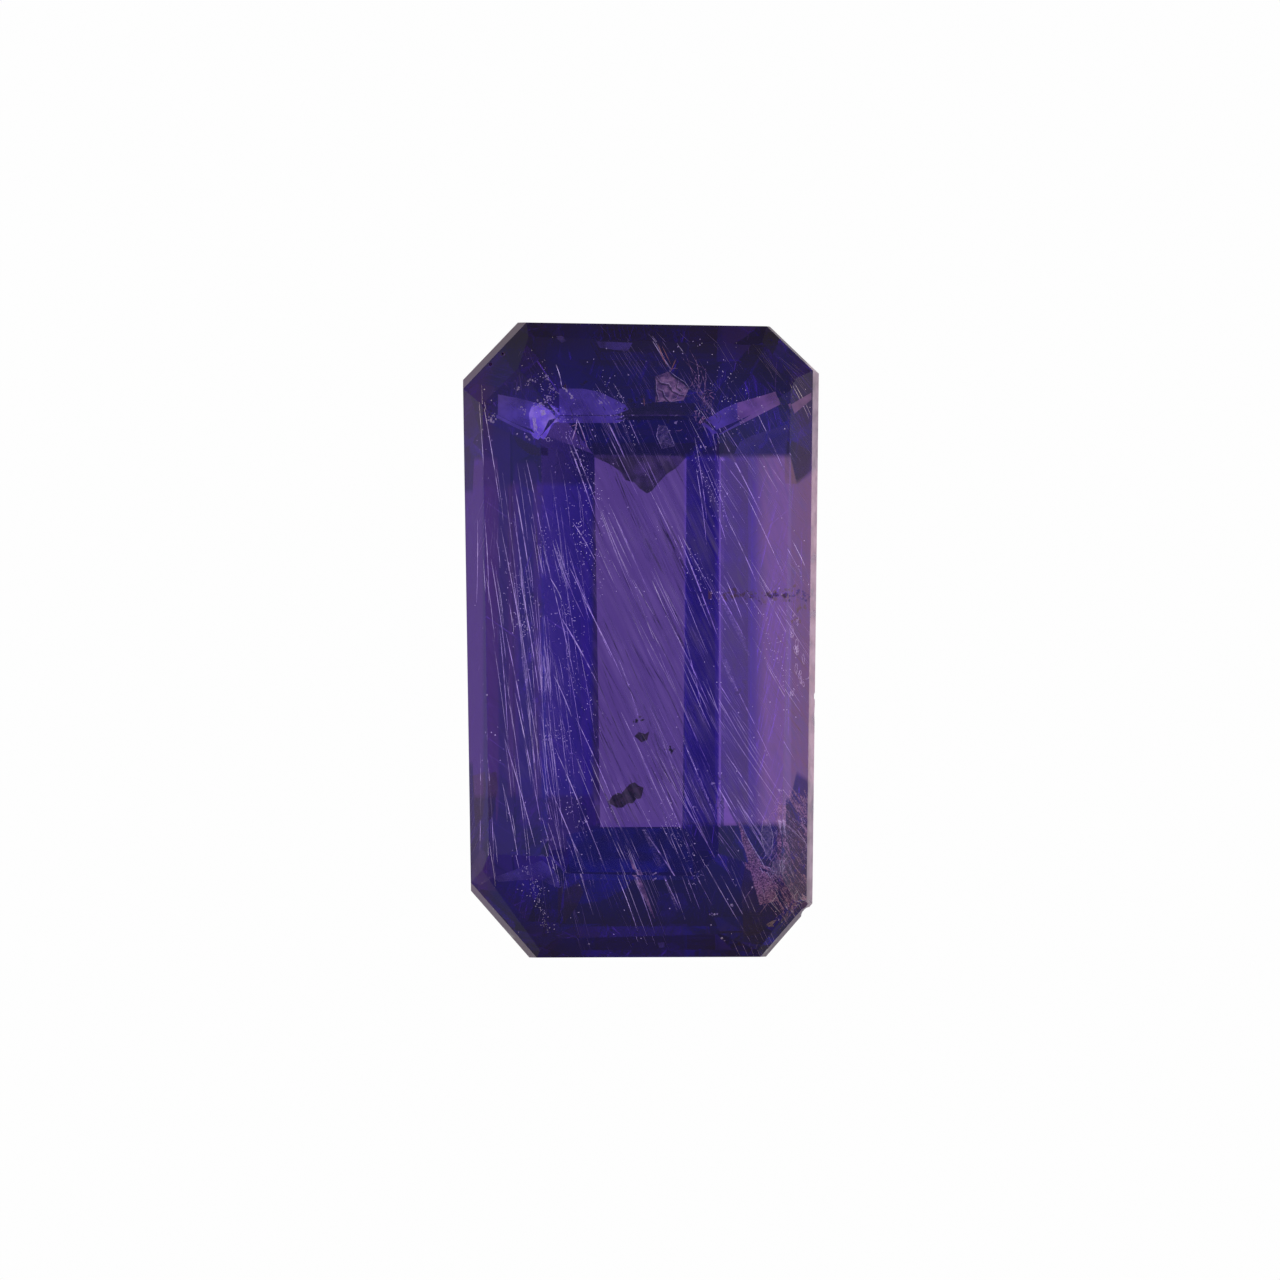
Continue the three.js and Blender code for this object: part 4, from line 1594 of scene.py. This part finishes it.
# %% Flecks and droplets
FLECKS = [
    (1.285, -3.75), (1.04, -3.88), (1.18, -4.24), (0.19, -3.30), (-1.286, -1.40), (0.52, 3.08),
    (1.95, -2.12), (-1.29, -2.81), (2.37, -0.55), (2.16, 0.35), (-0.55, 3.35), (1.0, -2.02),
    (0.75, -2.35),
]
FLECK_LOOSE = 0.02
FLECK_CHIPS = 3
FLECK_HEIGHT = 3.05
FLECK_SIZES = (0.01, 0.024)
DROPLETS = [
    (2.15, 0.07, 0.06), (2.19, -0.10, 0.05), (2.26, -0.17, 0.07), (2.22, -0.43, 0.06),
    (2.21, 0.24, 0.03), (2.28, -0.62, 0.05), (2.13, -0.75, 0.03),
]
RINGS_EACH = 3
DROPLET_HEIGHT = 2.85
DROPLET_WIDE = 0.35
DROPLET_TALL = (0.5, 1.2)
DROPLET_ASIDE = 0.4

for x, y in FLECKS:
    scatter_chips(glitter, x, y, FLECK_LOOSE, FLECK_CHIPS, FLECK_HEIGHT, FLECK_SIZES, chance)
for x, y, size in DROPLETS:
    for _ in range(RINGS_EACH):
        spot = (x + chance.gauss(0, size * DROPLET_ASIDE), y + chance.gauss(0, size))
        wide, tall = size * DROPLET_WIDE, size * chance.uniform(*DROPLET_TALL)
        ring_around(white, *spot, DROPLET_HEIGHT, wide, tall, chance)
print("flecks and droplets:", len(FLECKS), len(DROPLETS))

# %% [markdown]
# Behind the table lie a few orange needles, and strings of fibre that wander between them and the
# table.

# %% Orange needles and strings
ORANGE = [
    [(0.238, 4.19), (0.30, 4.02), (0.374, 3.86)], [(0.26, 4.10), (0.33, 3.92)],
    [(0.50, 3.98), (0.42, 3.80)], [(0.04, 3.42), (0.05, 3.30)], [(0.30, 4.15), (0.42, 3.90)],
]
ORANGE_RADIUS = 0.006
STRINGS = [(0.665, 4.02), (0.78, 3.75), (0.86, 3.50), (0.95, 3.30), (1.075, 3.09)]
STRING_COUNT = 16
STRING_HEIGHT = 3.1
STRING_SINK = 0.5
STRING_STRAY = (0.06, 0.05)
STRING_RADII = (0.003, 0.005)

orange = Heap()
for path in ORANGE:
    add_thread(orange, seen_path(path, STRING_HEIGHT, STRING_SINK), ORANGE_RADIUS)
aside, along = STRING_STRAY
for _ in range(STRING_COUNT):
    wander = [(x + chance.gauss(0, aside), y + chance.gauss(0, along)) for x, y in STRINGS]
    first = chance.randint(0, 2)
    string = seen_path(wander[first:first + 3], STRING_HEIGHT, STRING_SINK)
    add_thread(fibres, string, chance.uniform(*STRING_RADII))
print("orange needles and strings:", len(ORANGE), STRING_COUNT)

# %% [markdown]
# A fuzzy white trail of specks runs at the front left, and hair-fine scratches cross each other on
# the right, each leaning one way or the other.

# %% Trail and scratches
DUST_TRAIL = [(-1.64, -3.20), (-1.43, -3.71), (-1.32, -4.12)]
DUST_SINK = 0.3
DUST = 90
DUST_SPREAD = 0.02
DUST_SIZES = (0.003, 0.007)
SCRATCHES = (1.72, 2.12, 0.6, 2.75)
SCRATCH_COUNT = 26
SCRATCH_LEANS = (-0.9, 0.9)
SCRATCH_LENGTHS = (0.15, 0.4)
SCRATCH_RADIUS = 0.0035

trail = seen_path(DUST_TRAIL, STRING_HEIGHT, DUST_SINK)
for _ in range(DUST):
    stray = Vector((chance.gauss(0, DUST_SPREAD), chance.gauss(0, DUST_SPREAD), 0))
    spot = along_path(trail, chance.random() * ALMOST_ALL) + stray
    add_speck(white, spot, chance.uniform(*DUST_SIZES))
scratches = Heap()
left, right, front, back = SCRATCHES
for _ in range(SCRATCH_COUNT):
    x, y = chance.uniform(left, right), chance.uniform(front, back)
    lean = chance.choice(SCRATCH_LEANS)
    length = chance.uniform(*SCRATCH_LENGTHS)
    ends = [(x, y), (x + lean * length, y - length)]
    add_thread(scratches, seen_path(ends, FLECK_HEIGHT), SCRATCH_RADIUS)
print("specks and scratches:", DUST, SCRATCH_COUNT)

# %% [markdown]
# ## Worn edges with painted highlights
# The edges between the facets are never quite sharp. Under a lens each is a thin bright line,
# broken here and there, where the polish has worn. Rounding the solid would soften the facets far
# too much, so the line is a hair-thin broken thread just under each edge of the table, part wear
# and part painted highlight. The edges are found in the solid itself: they belong to one face of
# the table only.

# %% Worn edges with painted highlights
TABLE_ROOM = 0.001 * MM
FLAT_UP = 0.999
EDGE_LINE_STEP = 0.09
EDGE_LINE_SHARE = 0.4
EDGE_LINE_LENGTHS = (0.5, 1.1)
EDGE_LINE_RADIUS = 0.0035
EDGE_LINE_STRENGTHS = (0.5, 1.3)
UNDER_EDGE = Vector((0.004, 0.002, 0.006))

edge_uses = {}
for face in stone.data.polygons:
    if face.normal.z > FLAT_UP and face.center.z > TABLE_HEIGHT - TABLE_ROOM:
        for edge in face.edge_keys:
            edge_uses[edge] = edge_uses.get(edge, 0) + 1
table_rim = [edge for edge, uses in edge_uses.items() if uses == 1]
wear_and_highlight = Heap()
for edge in table_rim:
    start, end = (stone.data.vertices[i].co / MM for i in edge)
    length = (end - start).length
    for i in range(int(length / EDGE_LINE_STEP)):
        if chance.random() > EDGE_LINE_SHARE:
            continue
        shares = (i, i + chance.uniform(*EDGE_LINE_LENGTHS))
        a, b = (start.lerp(end, min(share * EDGE_LINE_STEP / length, 1)) for share in shares)
        inner = Vector((-a.x * UNDER_EDGE.x, -a.y * UNDER_EDGE.y, -UNDER_EDGE.z))
        path = [a + inner, (a + b) / 2 + inner, b + inner]
        # Each thread is part wear and part painted highlight.
        add_thread(wear_and_highlight, path, EDGE_LINE_RADIUS * chance.uniform(*EDGE_LINE_STRENGTHS))
print("table edges:", len(table_rim))

# %% [markdown]
# ## Dressing the cracks and guests
# The heaps that several cells added to get their finishes last. They share the one recipe: pinks
# for the cracks and the corner, near white for splinters and the painted glints and highlights among
# them, and dark ones for rims and scratches. Each row gives the pale and the deep colour, the glow,
# the grain in mm, and the limits of the cover.

# %% Dress the cracks and guests
DRESSING = [
    ("glitter_flecks", glitter, NEAR_WHITE, DEEP_VIOLET, 0.3, 0.04, (0.4, 1.0)),
    ("white_splinters_and_glints", white, NEAR_WHITE, LAVENDER, 0.4, 0.08, (0.25, 1.0)),
    ("healed_cracks", cracks, (0.85, 0.6, 0.78), (0.34, 0.2, 0.4), 0.32, 0.14, (0.25, 0.75)),
    ("crack_rims", rims, (0.12, 0.06, 0.15), (0.03, 0.02, 0.06), 0, 0.2, (0.4, 1.0)),
    ("grey_feathers", feathers, (0.6, 0.52, 0.75), (0.25, 0.2, 0.45), 0.22, 0.06, (0.05, 0.6)),
    ("pink_forks", pink, (0.9, 0.6, 0.75), (0.6, 0.35, 0.55), 0.4, 0.2, (0.3, 1.0)),
    ("speckled_blade", blade, (0.85, 0.55, 0.74), (0.18, 0.07, 0.18), 0.36, 0.025, (0.3, 1.0)),
    ("corner_veil", veil, (0.2, 0.07, 0.17), (0.1, 0.03, 0.1), 0.2, 0.1, (0.1, 0.8)),
    ("corner_fibres", fibres, (0.75, 0.52, 0.74), (0.16, 0.06, 0.14), 0.4, 0.06, (0.05, 1.0)),
    ("orange_needles", orange, (0.85, 0.42, 0.28), (0.6, 0.3, 0.28), 0.3, 0.3, (0.4, 1.0)),
    ("beige_flake", beige, (0.85, 0.66, 0.62), (0.25, 0.16, 0.2), 0.24, 0.03, (0.3, 1.0)),
    ("scratches", scratches, (0.05, 0.02, 0.08), NIGHT, 0, 0.3, (0.5, 1.0)),
    ("edge_wear_and_highlights", wear_and_highlight, NEAR_WHITE, LAVENDER, 0.04, 0.3, (0.1, 0.6)),
]
for name, heap, pale, deep, glow, grain, fade in DRESSING:
    make_piece(name, heap, inclusion_finish(name, pale, deep, glow, grain, fade))
